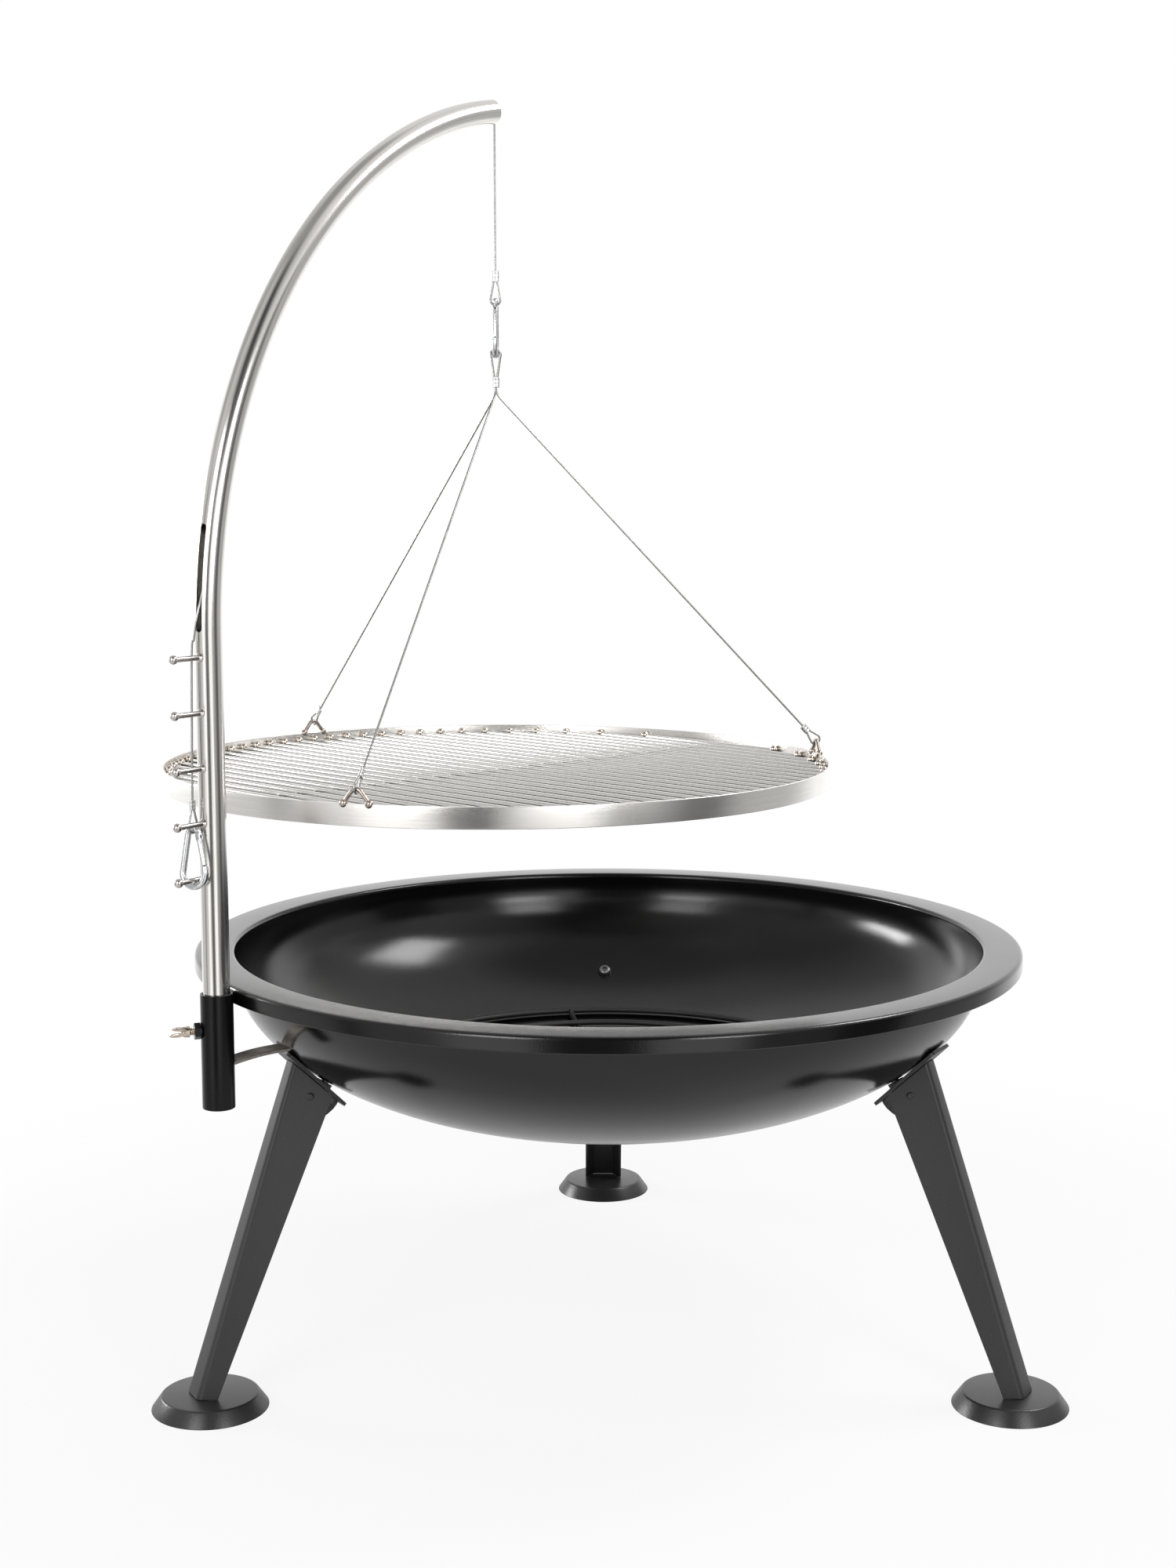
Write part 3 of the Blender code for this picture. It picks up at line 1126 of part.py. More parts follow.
def build_all():
    clear_scene()
    root = bpy.data.objects.new("grill", None)
    bpy.context.scene.collection.objects.link(root)
    root["grill_place"] = (0.0, 0.0, 0.0)
    root.location = (BOWL_X, BOWL_Y, 0.0)
    stand = empty_at("stand", (0, 0, 0), root)
    build_bowl(stand)
    for name, azimuth in LEG_AZIMUTHS.items():
        build_leg("leg_" + name, azimuth, stand)
        build_foot("foot_" + name, azimuth, stand)
        build_mount_plate("mount_plate_" + name, azimuth, stand)
        build_bolt(name, azimuth, stand)
        build_rivets(name, azimuth, stand)
    build_coal_grate(stand)
    build_sleeve(stand)
    build_brace(stand)
    screw = side_matrix(SCREW_AZIMUTH, SCREW_Z).translation
    screw_travel = empty_at("screw_travel", screw, stand)
    wing_turn = empty_at("wing_turn", screw, screw_travel)
    build_clamp(stand, screw_travel, wing_turn)
    pole = empty_at("pole", pole_axis(), stand)
    build_pole(pole)
    swept("rope_run", [rope_run_path()], WIRE_RADIUS, 2, "steel", pole)
    drop = empty_at("drop_sway", hang_place(DROP_TOP), pole)
    lift = empty_at("lift", hang_place(UPPER_FERRULE_TOP), drop)
    swivel = empty_at("swivel", hang_place(UPPER_FERRULE_BOTTOM), lift)
    hook = empty_at("hook_sway", hang_place(UPPER_BAR_Z - CARABINER_HOLD), swivel)
    pivot = carabiner_points(UPPER_LENGTH)[1]
    upper_pivot = upper_carabiner_matrix() @ Vector((pivot.x, pivot.y, 0))
    upper_gate = empty_at("upper_gate_axis", upper_pivot, hook)
    build_hoist(drop, lift, swivel, hook, upper_gate)
    grate = empty_at("grate", hang_place(UPPER_BAR_Z), hook)
    build_grate(grate)
    for name, azimuth in BAIL_AZIMUTHS.items():
        build_bridle(name, azimuth, grate)
    tail = empty_at("tail", arm_place(TAIL_REACH, 0, PEG_HEIGHTS[0]), pole)
    pivot = carabiner_points(LOWER_LENGTH)[1]
    lower_pivot = lower_carabiner_matrix() @ Vector((pivot.x, pivot.y, 0))
    lower_gate = empty_at("lower_gate_axis", lower_pivot, tail)
    build_tail(tail, lower_gate)


build_all()
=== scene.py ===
from math import atan, cos, pi, radians, sin, sqrt
import bmesh
import bpy
import numpy as np
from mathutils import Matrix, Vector


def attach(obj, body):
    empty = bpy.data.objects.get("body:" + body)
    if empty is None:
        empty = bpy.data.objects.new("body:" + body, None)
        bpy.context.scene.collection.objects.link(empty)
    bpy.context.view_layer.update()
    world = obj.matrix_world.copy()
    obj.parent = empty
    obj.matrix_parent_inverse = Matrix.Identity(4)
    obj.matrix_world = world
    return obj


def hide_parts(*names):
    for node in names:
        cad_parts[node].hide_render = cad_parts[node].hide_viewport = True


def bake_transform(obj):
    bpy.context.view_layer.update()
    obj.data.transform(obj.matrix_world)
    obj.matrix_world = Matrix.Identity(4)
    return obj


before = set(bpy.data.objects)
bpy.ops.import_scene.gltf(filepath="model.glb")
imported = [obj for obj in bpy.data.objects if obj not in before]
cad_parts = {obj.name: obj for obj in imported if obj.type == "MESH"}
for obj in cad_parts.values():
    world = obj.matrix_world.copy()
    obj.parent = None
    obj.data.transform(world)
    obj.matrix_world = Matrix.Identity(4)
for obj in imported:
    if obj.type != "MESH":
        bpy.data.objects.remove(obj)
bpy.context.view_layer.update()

print("stage: frame loaded")

# The grill's layout, in metres. Angles are in degrees from +X, towards +Y.
layout = {
    "bowlAxis": (0.0166, -0.0369),
    "legAngles": {"rear": 90.75, "left": 210.75, "right": 330.75},
    "poleAxis": (-0.32809, -0.26765),
    "armAngle": 56.4,
    "hangReach": 0.418,
    "footReach": 0.4206,
}


def direction(angle):
    return np.array([cos(radians(angle)), sin(radians(angle)), 0.0])


def across(angle):
    return direction(angle + 90.0)


up = np.array([0.0, 0.0, 1.0])
bowlAxis = np.array([*layout["bowlAxis"], 0.0])
poleAxis = np.array([*layout["poleAxis"], 0.0])
hangAxis = poleAxis + direction(layout["armAngle"]) * layout["hangReach"]


def armPlace(reach, off, height):
    # beside the pole: along the arm, to its left, and a height
    return poleAxis + direction(layout["armAngle"]) * reach + across(layout["armAngle"]) * off + up * height


def gridFaces(rows, cols, wrapRows, wrapCols):
    # one quad for each cell between neighbouring rows and columns
    r = np.arange(rows if wrapRows else rows - 1)
    c = np.arange(cols if wrapCols else cols - 1)
    a, b = np.meshgrid(r, c, indexing="ij")
    a2, b2 = (a + 1) % rows, (b + 1) % cols
    return np.stack([a * cols + b, a * cols + b2, a2 * cols + b2, a2 * cols + b], axis=-1).reshape(-1, 4)


def cappedRings(grid):
    # rings of points, closed at the first and the last ring by a fan of triangles round its middle
    rows, cols = grid.shape[:2]
    k = np.arange(cols)
    first, last = rows * cols, (rows - 1) * cols
    startFan = np.stack([np.full(cols, first), (k + 1) % cols, k], axis=1)
    endFan = np.stack([np.full(cols, first + 1), last + k, last + (k + 1) % cols], axis=1)
    points = np.concatenate([grid.reshape(-1, 3), grid[:1].mean(axis=1), grid[-1:].mean(axis=1)])
    return points, [gridFaces(rows, cols, False, True), startFan, endFan]


def makePiece(name, shells, material, body, replaces=(), sharp=32.0, straight=None):
    # shells is a list of (points, [face arrays]); each is closed, and its normals are turned outward
    # here; straight holds where each point would be if the piece weren't bent, for its grain
    points = np.concatenate([p for p, parts in shells])
    starts = np.cumsum([0] + [len(p) for p, parts in shells[:-1]])
    blocks = [part + start for (p, parts), start in zip(shells, starts) for part in parts]
    corners = np.concatenate([block.ravel() for block in blocks])
    sizes = np.concatenate([np.full(len(block), block.shape[1]) for block in blocks])
    mesh = bpy.data.meshes.new(name)
    mesh.vertices.add(len(points))
    mesh.vertices.foreach_set("co", points.ravel())
    mesh.loops.add(len(corners))
    mesh.loops.foreach_set("vertex_index", corners.astype(np.int32))
    mesh.polygons.add(len(sizes))
    mesh.polygons.foreach_set("loop_start", (np.cumsum(sizes) - sizes).astype(np.int32))
    mesh.update(calc_edges=True)
    if straight is not None:
        grain = mesh.attributes.new("straight", "FLOAT_VECTOR", "POINT")
        grain.data.foreach_set("vector", straight.ravel())
    work = bmesh.new()
    work.from_mesh(mesh)
    bmesh.ops.remove_doubles(work, verts=work.verts, dist=2e-6)
    bmesh.ops.recalc_face_normals(work, faces=work.faces)
    work.to_mesh(mesh)
    work.free()
    mesh.materials.append(material)
    mesh.shade_smooth()
    mesh.set_sharp_from_angle(angle=radians(sharp))
    piece = bpy.data.objects.new(name, mesh)
    bpy.context.scene.collection.objects.link(piece)
    if body:
        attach(piece, body)
    if replaces:
        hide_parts(*replaces)
    return piece


def cornerCurves(corners, before, after, distance, steps):
    # each corner becomes a curve that starts and ends that distance from it, towards its neighbours
    a, b = [corners + way / np.linalg.norm(way, axis=1)[:, None] * distance
            for way in (before - corners, after - corners)]
    t = np.linspace(0, 1, steps)[None, :, None]
    return a[:, None] * (1 - t) ** 2 + corners[:, None] * 2 * t * (1 - t) + b[:, None] * t ** 2

def roundedCorners(points, radius, steps=5):
    # a closed outline with its corners rounded
    p = np.asarray(points, float)
    before, after = np.roll(p, 1, axis=0), np.roll(p, -1, axis=0)
    lengths = np.minimum(np.linalg.norm(before - p, axis=1), np.linalg.norm(after - p, axis=1))
    r = np.minimum(np.broadcast_to(radius, len(p)), 0.45 * lengths)[:, None]
    return cornerCurves(p, before, after, r, steps).reshape(-1, 2)

def fullTurn(count):
    # evenly spread angles round a circle
    return np.arange(count) * 2 * pi / count

def lengthsAlong(path):
    # how far along the path each of its points is
    return np.concatenate([[0], np.cumsum(np.linalg.norm(np.diff(path, axis=0), axis=1))])

def axes(origin, x, y, z):
    frameMatrix = np.eye(4)
    frameMatrix[:3, 0], frameMatrix[:3, 1], frameMatrix[:3, 2], frameMatrix[:3, 3] = x, y, z, origin
    return frameMatrix

def uprightAxes(origin):
    return axes(origin, (1, 0, 0), (0, 1, 0), up)


def placed(points, matrix):
    return points @ matrix[:3, :3].T + matrix[:3, 3]


def unit(v):
    v = np.asarray(v, float)
    return v / np.linalg.norm(v)


def turnedShell(profile, segments, matrix):
    # a surface of revolution: point (radius, height) of a closed profile, turned through a full circle
    p = np.asarray(profile, float)
    angle = fullTurn(segments)
    grid = np.stack([p[:, 0:1] * np.cos(angle), p[:, 0:1] * np.sin(angle),
                     np.repeat(p[:, 1:2], segments, axis=1)], axis=-1)
    return placed(grid.reshape(-1, 3), matrix), [gridFaces(len(p), segments, True, True)]


def throughPoints(points, steps):
    # a Catmull-Rom curve through all points but the first and the last, which only bend its ends
    t = np.linspace(0, 1, steps, endpoint=False)[None, :, None]
    a, b, c, d = points[:-3, None], points[1:-2, None], points[2:-1, None], points[3:, None]
    curve = 0.5 * (2 * b + (c - a) * t + (2 * a - 5 * b + 4 * c - d) * t ** 2
                   + (3 * b - a - 3 * c + d) * t ** 3)
    return curve.reshape(-1, points.shape[1])

def smoothPath(points, spacing):
    # a curve through the points, read again at an even spacing along its length
    p = np.asarray(points, float)
    curve = throughPoints(np.concatenate([[2 * p[0] - p[1]], p, [2 * p[-1] - p[-2]]]), 24)
    return evenPath(np.concatenate([curve, p[-1:]]), spacing)

def evenPath(curve, spacing):
    along = lengthsAlong(curve)
    count = max(int(along[-1] / spacing), 2)
    wanted = np.linspace(0, along[-1], count + 1)
    return np.stack([np.interp(wanted, along, curve[:, k]) for k in range(3)], axis=1)


def pathFrames(path, guide):
    # tangent, and two normals; guide is a direction that the path never runs along
    tangent = np.gradient(path, axis=0)
    tangent /= np.linalg.norm(tangent, axis=1)[:, None]
    first = np.cross(tangent, np.asarray(guide, float))
    first /= np.linalg.norm(first, axis=1)[:, None]
    return tangent, first, np.cross(tangent, first)


def tubeShell(path, radius, sides, guide, roundEnds=0.0, closed=False, lay=None):
    # a circle carried along a path; lay gives a rope's strands, as lobes that turn with the length
    if closed:
        path = np.concatenate([path, path[:2]])
        tangent, first, second = pathFrames(path, guide)
        path, first, second = path[1:-1], first[1:-1], second[1:-1]
    else:
        tangent, first, second = pathFrames(path, guide)
    along = lengthsAlong(path)
    r = np.broadcast_to(np.asarray(radius, float), len(path)).copy()
    if roundEnds and not closed:
        # extra rings close together at each end, on a quarter circle of that radius
        turn = np.linspace(0, 0.5 * pi, 6)[1:]
        lead = roundEnds * (1 - np.cos(turn))
        shrink = 1 - roundEnds * (1 - np.sin(turn)) / r[0]
        path = np.concatenate([path[:1], path[:1] + tangent[:1] * lead[:, None],
                               path[-1:] - tangent[-1:] * lead[::-1, None], path[-1:]])
        r = np.concatenate([[r[0] - roundEnds], r[0] * shrink, r[-1] * shrink[::-1], [r[-1] - roundEnds]])
        first = np.repeat(np.stack([first[0], first[-1]]), 6, axis=0)
        second = np.repeat(np.stack([second[0], second[-1]]), 6, axis=0)
        along = np.zeros(len(path))
    angle = fullTurn(sides)
    ring = r[:, None] * np.ones(sides)
    if lay:
        lobe = np.abs(np.cos(3 * (angle[None, :] - 2 * pi * along[:, None] / lay))) ** 0.7
        ring = ring * (0.84 + 0.16 * lobe)
    grid = (path[:, None] + first[:, None] * (ring * np.cos(angle))[..., None]
            + second[:, None] * (ring * np.sin(angle))[..., None])
    if closed:
        return grid.reshape(-1, 3), [gridFaces(len(path), sides, True, True)]
    return cappedRings(grid)


def wallFaces(edge, count):
    # joins one sheet's edge to the other's, whose points come count later
    return np.stack([edge[:-1], edge[1:], edge[1:] + count, edge[:-1] + count], axis=1)

def stripShell(outer, inner):
    # two matching sheets of grid points, closed along all four edges
    rows, cols = outer.shape[:2]
    points = np.concatenate([outer.reshape(-1, 3), inner.reshape(-1, 3)])
    skin = gridFaces(rows, cols, False, False)
    count = rows * cols
    index = np.arange(count).reshape(rows, cols)
    edges = [index[0], index[-1], index[:, 0], index[:, -1]]
    return points, [skin, skin[:, ::-1] + count] + [wallFaces(edge, count) for edge in edges]

def finishEdges(piece, width, angle=40.0, segments=2):
    bevel = piece.modifiers.new("roundEdge", "BEVEL")
    bevel.width = width
    bevel.segments = segments
    bevel.limit_method = "ANGLE"
    bevel.angle_limit = radians(angle)
    bevel.harden_normals = False
    return piece


def newGroup(name, numbers, results):
    # each group takes a vector and some numbers, and gives numbers
    group = bpy.data.node_groups.new(name, "ShaderNodeTree")
    group.interface.new_socket(name="Vector", in_out="INPUT", socket_type="NodeSocketVector")
    for label, value in numbers.items():
        made = group.interface.new_socket(name=label, in_out="INPUT", socket_type="NodeSocketFloat")
        made.default_value = value
    for label in results:
        group.interface.new_socket(name=label, in_out="OUTPUT", socket_type="NodeSocketFloat")
    return group, group.nodes.new("NodeGroupInput"), group.nodes.new("NodeGroupOutput")

def node(tree, kind, **settings):
    made = tree.nodes.new(kind)
    for key, value in settings.items():
        setattr(made, key, value)
    return made


def maths(tree, operation, a, b=None, clamp=False):
    made = node(tree, "ShaderNodeMath", operation=operation, use_clamp=clamp)
    for slot, value in ((0, a), (1, b)):
        if value is None:
            continue
        if isinstance(value, (int, float)):
            made.inputs[slot].default_value = value
        else:
            tree.links.new(value, made.inputs[slot])
    return made.outputs[0]


def noiseOf(tree, vector, scale, detail=2.0, roughness=0.5):
    made = node(tree, "ShaderNodeTexNoise")
    made.inputs["Scale"].default_value = scale
    made.inputs["Detail"].default_value = detail
    made.inputs["Roughness"].default_value = roughness
    tree.links.new(vector, made.inputs["Vector"])
    return made.outputs["Fac"]


def spread(tree, value, low, high, toLow=0.0, toHigh=1.0):
    made = node(tree, "ShaderNodeMapRange")
    made.inputs["From Min"].default_value = low
    made.inputs["From Max"].default_value = high
    made.inputs["To Min"].default_value = toLow
    made.inputs["To Max"].default_value = toHigh
    tree.links.new(value, made.inputs["Value"])
    return made.outputs["Result"]


def buildEdgeWear():
    # bare spots along sharp edges: how far the bevelled normal turns away from the true one
    group, start, end = newGroup("edgeWear", {"Amount": 0.5}, ["Mask"])
    bevel = node(group, "ShaderNodeBevel", samples=4)
    bevel.inputs["Radius"].default_value = 0.0007
    plain = node(group, "ShaderNodeNewGeometry")
    dot = node(group, "ShaderNodeVectorMath", operation="DOT_PRODUCT")
    group.links.new(bevel.outputs["Normal"], dot.inputs[0])
    group.links.new(plain.outputs["Normal"], dot.inputs[1])
    edge = spread(group, dot.outputs["Value"], 0.995, 0.86)
    patches = spread(group, noiseOf(group, start.outputs["Vector"], 60.0, 4.0, 0.6), 0.38, 0.62)
    worn = maths(group, "MULTIPLY", edge, patches)
    group.links.new(maths(group, "MULTIPLY", worn, start.outputs["Amount"], True), end.inputs["Mask"])
    return group


def buildPaintSkin():
    # sprayed paint: a fine orange peel, broad changes of gloss, and a little settled dust
    group, start, end = newGroup("paintSkin", {"Gloss": 0.3, "Dust": 0.2}, ["Height", "Roughness", "Dust"])
    peel = noiseOf(group, start.outputs["Vector"], 900.0, 1.5, 0.4)
    broad = noiseOf(group, start.outputs["Vector"], 9.0, 3.0, 0.55)
    speck = spread(group, noiseOf(group, start.outputs["Vector"], 420.0, 2.0, 0.6), 0.66, 0.74)
    group.links.new(peel, end.inputs["Height"])
    change = maths(group, "MULTIPLY", maths(group, "SUBTRACT", broad, 0.5), 0.10)
    group.links.new(maths(group, "ADD", start.outputs["Gloss"], change), end.inputs["Roughness"])
    group.links.new(maths(group, "MULTIPLY", speck, start.outputs["Dust"]), end.inputs["Dust"])
    return group


def buildRoundGrain():
    # brush lines that run round an upright axis: height and radius vary fast, the angle slowly
    group, start, end = newGroup("roundGrain", {"Fineness": 2600.0}, ["Lines", "Patches"])
    parts = node(group, "ShaderNodeSeparateXYZ")
    group.links.new(start.outputs["Vector"], parts.inputs[0])
    angle = maths(group, "ARCTAN2", parts.outputs["Y"], parts.outputs["X"])
    fine = node(group, "ShaderNodeCombineXYZ")
    group.links.new(maths(group, "MULTIPLY", angle, 5.0), fine.inputs["X"])
    group.links.new(maths(group, "MULTIPLY", parts.outputs["Z"], start.outputs["Fineness"]),
                    fine.inputs["Y"])
    group.links.new(noiseOf(group, fine.outputs[0], 1.0, 3.0, 0.6), end.inputs["Lines"])
    broad = node(group, "ShaderNodeCombineXYZ")
    group.links.new(maths(group, "MULTIPLY", angle, 6.0), broad.inputs["X"])
    group.links.new(maths(group, "MULTIPLY", parts.outputs["Z"], 8.0), broad.inputs["Y"])
    group.links.new(noiseOf(group, broad.outputs[0], 1.0, 1.0, 0.4), end.inputs["Patches"])
    return group


def buildLongGrain():
    # draw lines along one axis: the vector arrives squeezed along the tube
    group, start, end = newGroup("longGrain", {"Scale": 900.0}, ["Lines", "Patches"])
    scaled = node(group, "ShaderNodeVectorMath", operation="SCALE")
    group.links.new(start.outputs["Vector"], scaled.inputs[0])
    group.links.new(start.outputs["Scale"], scaled.inputs["Scale"])
    group.links.new(noiseOf(group, scaled.outputs[0], 1.0, 3.0, 0.6), end.inputs["Lines"])
    group.links.new(noiseOf(group, start.outputs["Vector"], 30.0, 2.0, 0.5), end.inputs["Patches"])
    return group


edgeWear = buildEdgeWear()
paintSkin = buildPaintSkin()
roundGrain = buildRoundGrain()
longGrain = buildLongGrain()
print("stage: shared effects built")


def newMaterial(name, colour, metallic, roughness, attribute=None):
    material = bpy.data.materials.new(name)
    material.use_nodes = True
    tree = material.node_tree
    shader = tree.nodes["Principled BSDF"]
    shader.inputs["Base Color"].default_value = (*colour, 1.0)
    shader.inputs["Metallic"].default_value = metallic
    shader.inputs["Roughness"].default_value = roughness
    if attribute:
        place = node(tree, "ShaderNodeAttribute", attribute_name=attribute).outputs["Vector"]
    else:
        place = node(tree, "ShaderNodeTexCoord").outputs["Object"]
    return material, tree, shader, place


def useGroup(tree, group, vector, **values):
    made = node(tree, "ShaderNodeGroup", node_tree=group)
    tree.links.new(vector, made.inputs["Vector"])
    for key, value in values.items():
        made.inputs[key].default_value = value
    return made


def mixColour(tree, mask, first, second):
    made = node(tree, "ShaderNodeMix", data_type="RGBA")
    tree.links.new(mask, made.inputs["Factor"])
    for slot, value in (("A", first), ("B", second)):
        socket = [s for s in made.inputs if s.name == slot and s.type == "RGBA"][0]
        if isinstance(value, tuple):
            socket.default_value = (*value, 1.0)
        else:
            tree.links.new(value, socket)
    return [s for s in made.outputs if s.type == "RGBA"][0]


def bumpOf(tree, height, distance, strength=1.0):
    made = node(tree, "ShaderNodeBump")
    made.inputs["Distance"].default_value = distance
    made.inputs["Strength"].default_value = strength
    tree.links.new(height, made.inputs["Height"])
    return made.outputs["Normal"]


def blackPaint(name, colour=(0.010, 0.010, 0.0105), gloss=0.30, dust=0.10, peel=0.00006, wear=0.35,
               shine=0.5):
    material, tree, shader, place = newMaterial(name, colour, 0.0, gloss)
    shader.inputs["Specular IOR Level"].default_value = shine
    skin = useGroup(tree, paintSkin, place, Gloss=gloss, Dust=dust)
    worn = useGroup(tree, edgeWear, place, Amount=wear)
    dusty = mixColour(tree, skin.outputs["Dust"], colour, (0.20, 0.19, 0.18))
    tree.links.new(mixColour(tree, worn.outputs["Mask"], dusty, (0.16, 0.16, 0.165)),
                   shader.inputs["Base Color"])
    tree.links.new(skin.outputs["Roughness"], shader.inputs["Roughness"])
    tree.links.new(bumpOf(tree, skin.outputs["Height"], peel), shader.inputs["Normal"])
    return material


def streakedSteel(name, colour, dark, roughness, squeeze, scale=900.0, lines=0.00002, turn=(0, 0, 0),
                  attribute=None, under=None):
    # steel with draw lines; squeeze is how strongly each axis counts, under is the colour of a painted
    # reflection of the dark bowl on its underside
    material, tree, shader, place = newMaterial(name, colour, 1.0, roughness, attribute)
    mapping = node(tree, "ShaderNodeMapping")
    mapping.inputs["Scale"].default_value = squeeze
    mapping.inputs["Rotation"].default_value = turn
    tree.links.new(place, mapping.inputs["Vector"])
    grain = useGroup(tree, longGrain, mapping.outputs["Vector"], Scale=scale)
    lightness = spread(tree, grain.outputs["Lines"], 0.3, 0.7)
    tint = mixColour(tree, lightness, dark, colour)
    if under:
        # painted reflection: darker where it looks down, standing in for the dark bowl mirrored there
        facing = node(tree, "ShaderNodeSeparateXYZ")
        tree.links.new(node(tree, "ShaderNodeNewGeometry").outputs["Normal"], facing.inputs["Vector"])
        paintedReflectionMask = spread(tree, facing.outputs["Z"], -0.55, -0.15, 1.0, 0.0)
        tint = mixColour(tree, paintedReflectionMask, tint, under)
    tree.links.new(tint, shader.inputs["Base Color"])
    rough = maths(tree, "ADD", spread(tree, grain.outputs["Patches"], 0.3, 0.7, -0.04, 0.05),
                  spread(tree, grain.outputs["Lines"], 0.3, 0.7, roughness + 0.05, roughness - 0.03))
    tree.links.new(rough, shader.inputs["Roughness"])
    tree.links.new(bumpOf(tree, grain.outputs["Lines"], lines), shader.inputs["Normal"])
    return material


def bandSteel(name, centre):
    # brushed round the band
    colour, dark, roughness = (0.78, 0.76, 0.735), (0.64, 0.62, 0.595), 0.26
    material, tree, shader, place = newMaterial(name, colour, 1.0, roughness)
    mapping = node(tree, "ShaderNodeMapping")
    mapping.inputs["Location"].default_value = (-centre[0], -centre[1], 0.0)
    tree.links.new(place, mapping.inputs["Vector"])
    grain = useGroup(tree, roundGrain, mapping.outputs["Vector"], Fineness=2600.0)
    lightness = spread(tree, grain.outputs["Lines"], 0.25, 0.75)
    tree.links.new(mixColour(tree, lightness, dark, colour), shader.inputs["Base Color"])
    tree.links.new(spread(tree, grain.outputs["Patches"], 0.2, 0.8, roughness - 0.06, roughness + 0.08),
                   shader.inputs["Roughness"])
    tree.links.new(bumpOf(tree, grain.outputs["Lines"], 0.00005), shader.inputs["Normal"])
    return material


def ropeSteel(name):
    # thin drawn wires, darker where oil and dirt sit between them
    material, tree, shader, place = newMaterial(name, (0.42, 0.42, 0.41), 1.0, 0.34)
    fine = noiseOf(tree, place, 1600.0, 2.0, 0.6)
    tree.links.new(mixColour(tree, spread(tree, fine, 0.35, 0.65), (0.24, 0.24, 0.235),
                             (0.46, 0.46, 0.45)), shader.inputs["Base Color"])
    tree.links.new(spread(tree, fine, 0.3, 0.7, 0.42, 0.28), shader.inputs["Roughness"])
    tree.links.new(bumpOf(tree, fine, 0.00005), shader.inputs["Normal"])
    return material


def plainMetal(name, colour, dark, roughness, scale=260.0, height=0.00003):
    # plated or crimped metal: small cloudy changes of tone and gloss, and fine pits
    material, tree, shader, place = newMaterial(name, colour, 1.0, roughness)
    cloud = noiseOf(tree, place, scale, 4.0, 0.55)
    tree.links.new(mixColour(tree, spread(tree, cloud, 0.3, 0.7), dark, colour),
                   shader.inputs["Base Color"])
    tree.links.new(spread(tree, cloud, 0.3, 0.7, roughness + 0.07, roughness - 0.04),
                   shader.inputs["Roughness"])
    pits = noiseOf(tree, place, scale * 6.0, 2.0, 0.5)
    tree.links.new(bumpOf(tree, pits, height), shader.inputs["Normal"])
    return material


bowlPaint = blackPaint("bowlPaint", colour=(0.0022, 0.0022, 0.0023), gloss=0.16, dust=0.02, wear=0.15,
                       shine=0.42)
legPaint = blackPaint("legPaint", colour=(0.020, 0.0195, 0.0195), gloss=0.44, dust=0.08, peel=0.00009)
footPaint = blackPaint("footPaint", colour=(0.020, 0.0195, 0.0195), gloss=0.31, dust=0.10, peel=0.00010)
sleevePaint = blackPaint("sleevePaint", colour=(0.0032, 0.0032, 0.0033), gloss=0.24, dust=0.04, wear=0.2,
                         shine=0.2)
braceSteel = plainMetal("braceSteel", (0.34, 0.30, 0.265), (0.19, 0.165, 0.145), 0.42, 120.0)
coalPaint = blackPaint("coalPaint", colour=(0.010, 0.010, 0.010), gloss=0.50, dust=0.12, wear=0.1)
poleSteel = streakedSteel("poleSteel", (0.70, 0.68, 0.655), (0.54, 0.52, 0.495), 0.17,
                          (1.0, 1.0, 0.012), 900.0, 0.00002, (0, 0, 0), "straight")
pegSteel = plainMetal("pegSteel", (0.60, 0.575, 0.55), (0.42, 0.39, 0.37), 0.24)
# the rods' undersides carry a painted reflection of the dark bowl, the colour given as under
rodSteel = streakedSteel("rodSteel", (0.82, 0.805, 0.78), (0.66, 0.645, 0.62), 0.13,
                         (0.06, 1.0, 1.0), 700.0, 0.000008, (0, 0, radians(45.0)), under=(0.10, 0.09, 0.08))
gratingBand = bandSteel("bandSteel", hangAxis)
beadSteel = plainMetal("beadSteel", (0.50, 0.445, 0.40), (0.26, 0.215, 0.18), 0.30, 300.0)
weldSteel = plainMetal("weldSteel", (0.70, 0.66, 0.61), (0.42, 0.35, 0.29), 0.22, 220.0)
zincSteel = plainMetal("zincSteel", (0.70, 0.71, 0.72), (0.52, 0.53, 0.54), 0.25)
wingSteel = plainMetal("wingSteel", (0.66, 0.58, 0.50), (0.46, 0.385, 0.32), 0.27)
ferruleMetal = plainMetal("ferruleMetal", (0.74, 0.74, 0.74), (0.55, 0.55, 0.55), 0.38, 340.0, 0.00005)
wireSteel = ropeSteel("wireSteel")
boltBlack = plainMetal("boltSteel", (0.30, 0.30, 0.30), (0.14, 0.14, 0.14), 0.36)
print("stage: materials built")


bowlLook = {
    "radius": 0.365, "depth": 0.165, "edgeHeight": 0.380, "sheet": 0.003,
    "rimRadius": 0.400, "rimTop": 0.3914, "lip": 0.0145, "rimRound": 0.0045, "segments": 288,
}


def bowlHeight(reach, inner=False):
    wall = bowlLook["sheet"] if inner else 0.0
    radius, depth = bowlLook["radius"] - wall, bowlLook["depth"] - wall
    return bowlLook["edgeHeight"] - depth * sqrt(1.0 - (reach / radius) ** 2)


def bowlSlope(reach):
    radius, depth = bowlLook["radius"], bowlLook["depth"]
    return depth / radius * (reach / radius) / sqrt(1.0 - (reach / radius) ** 2)


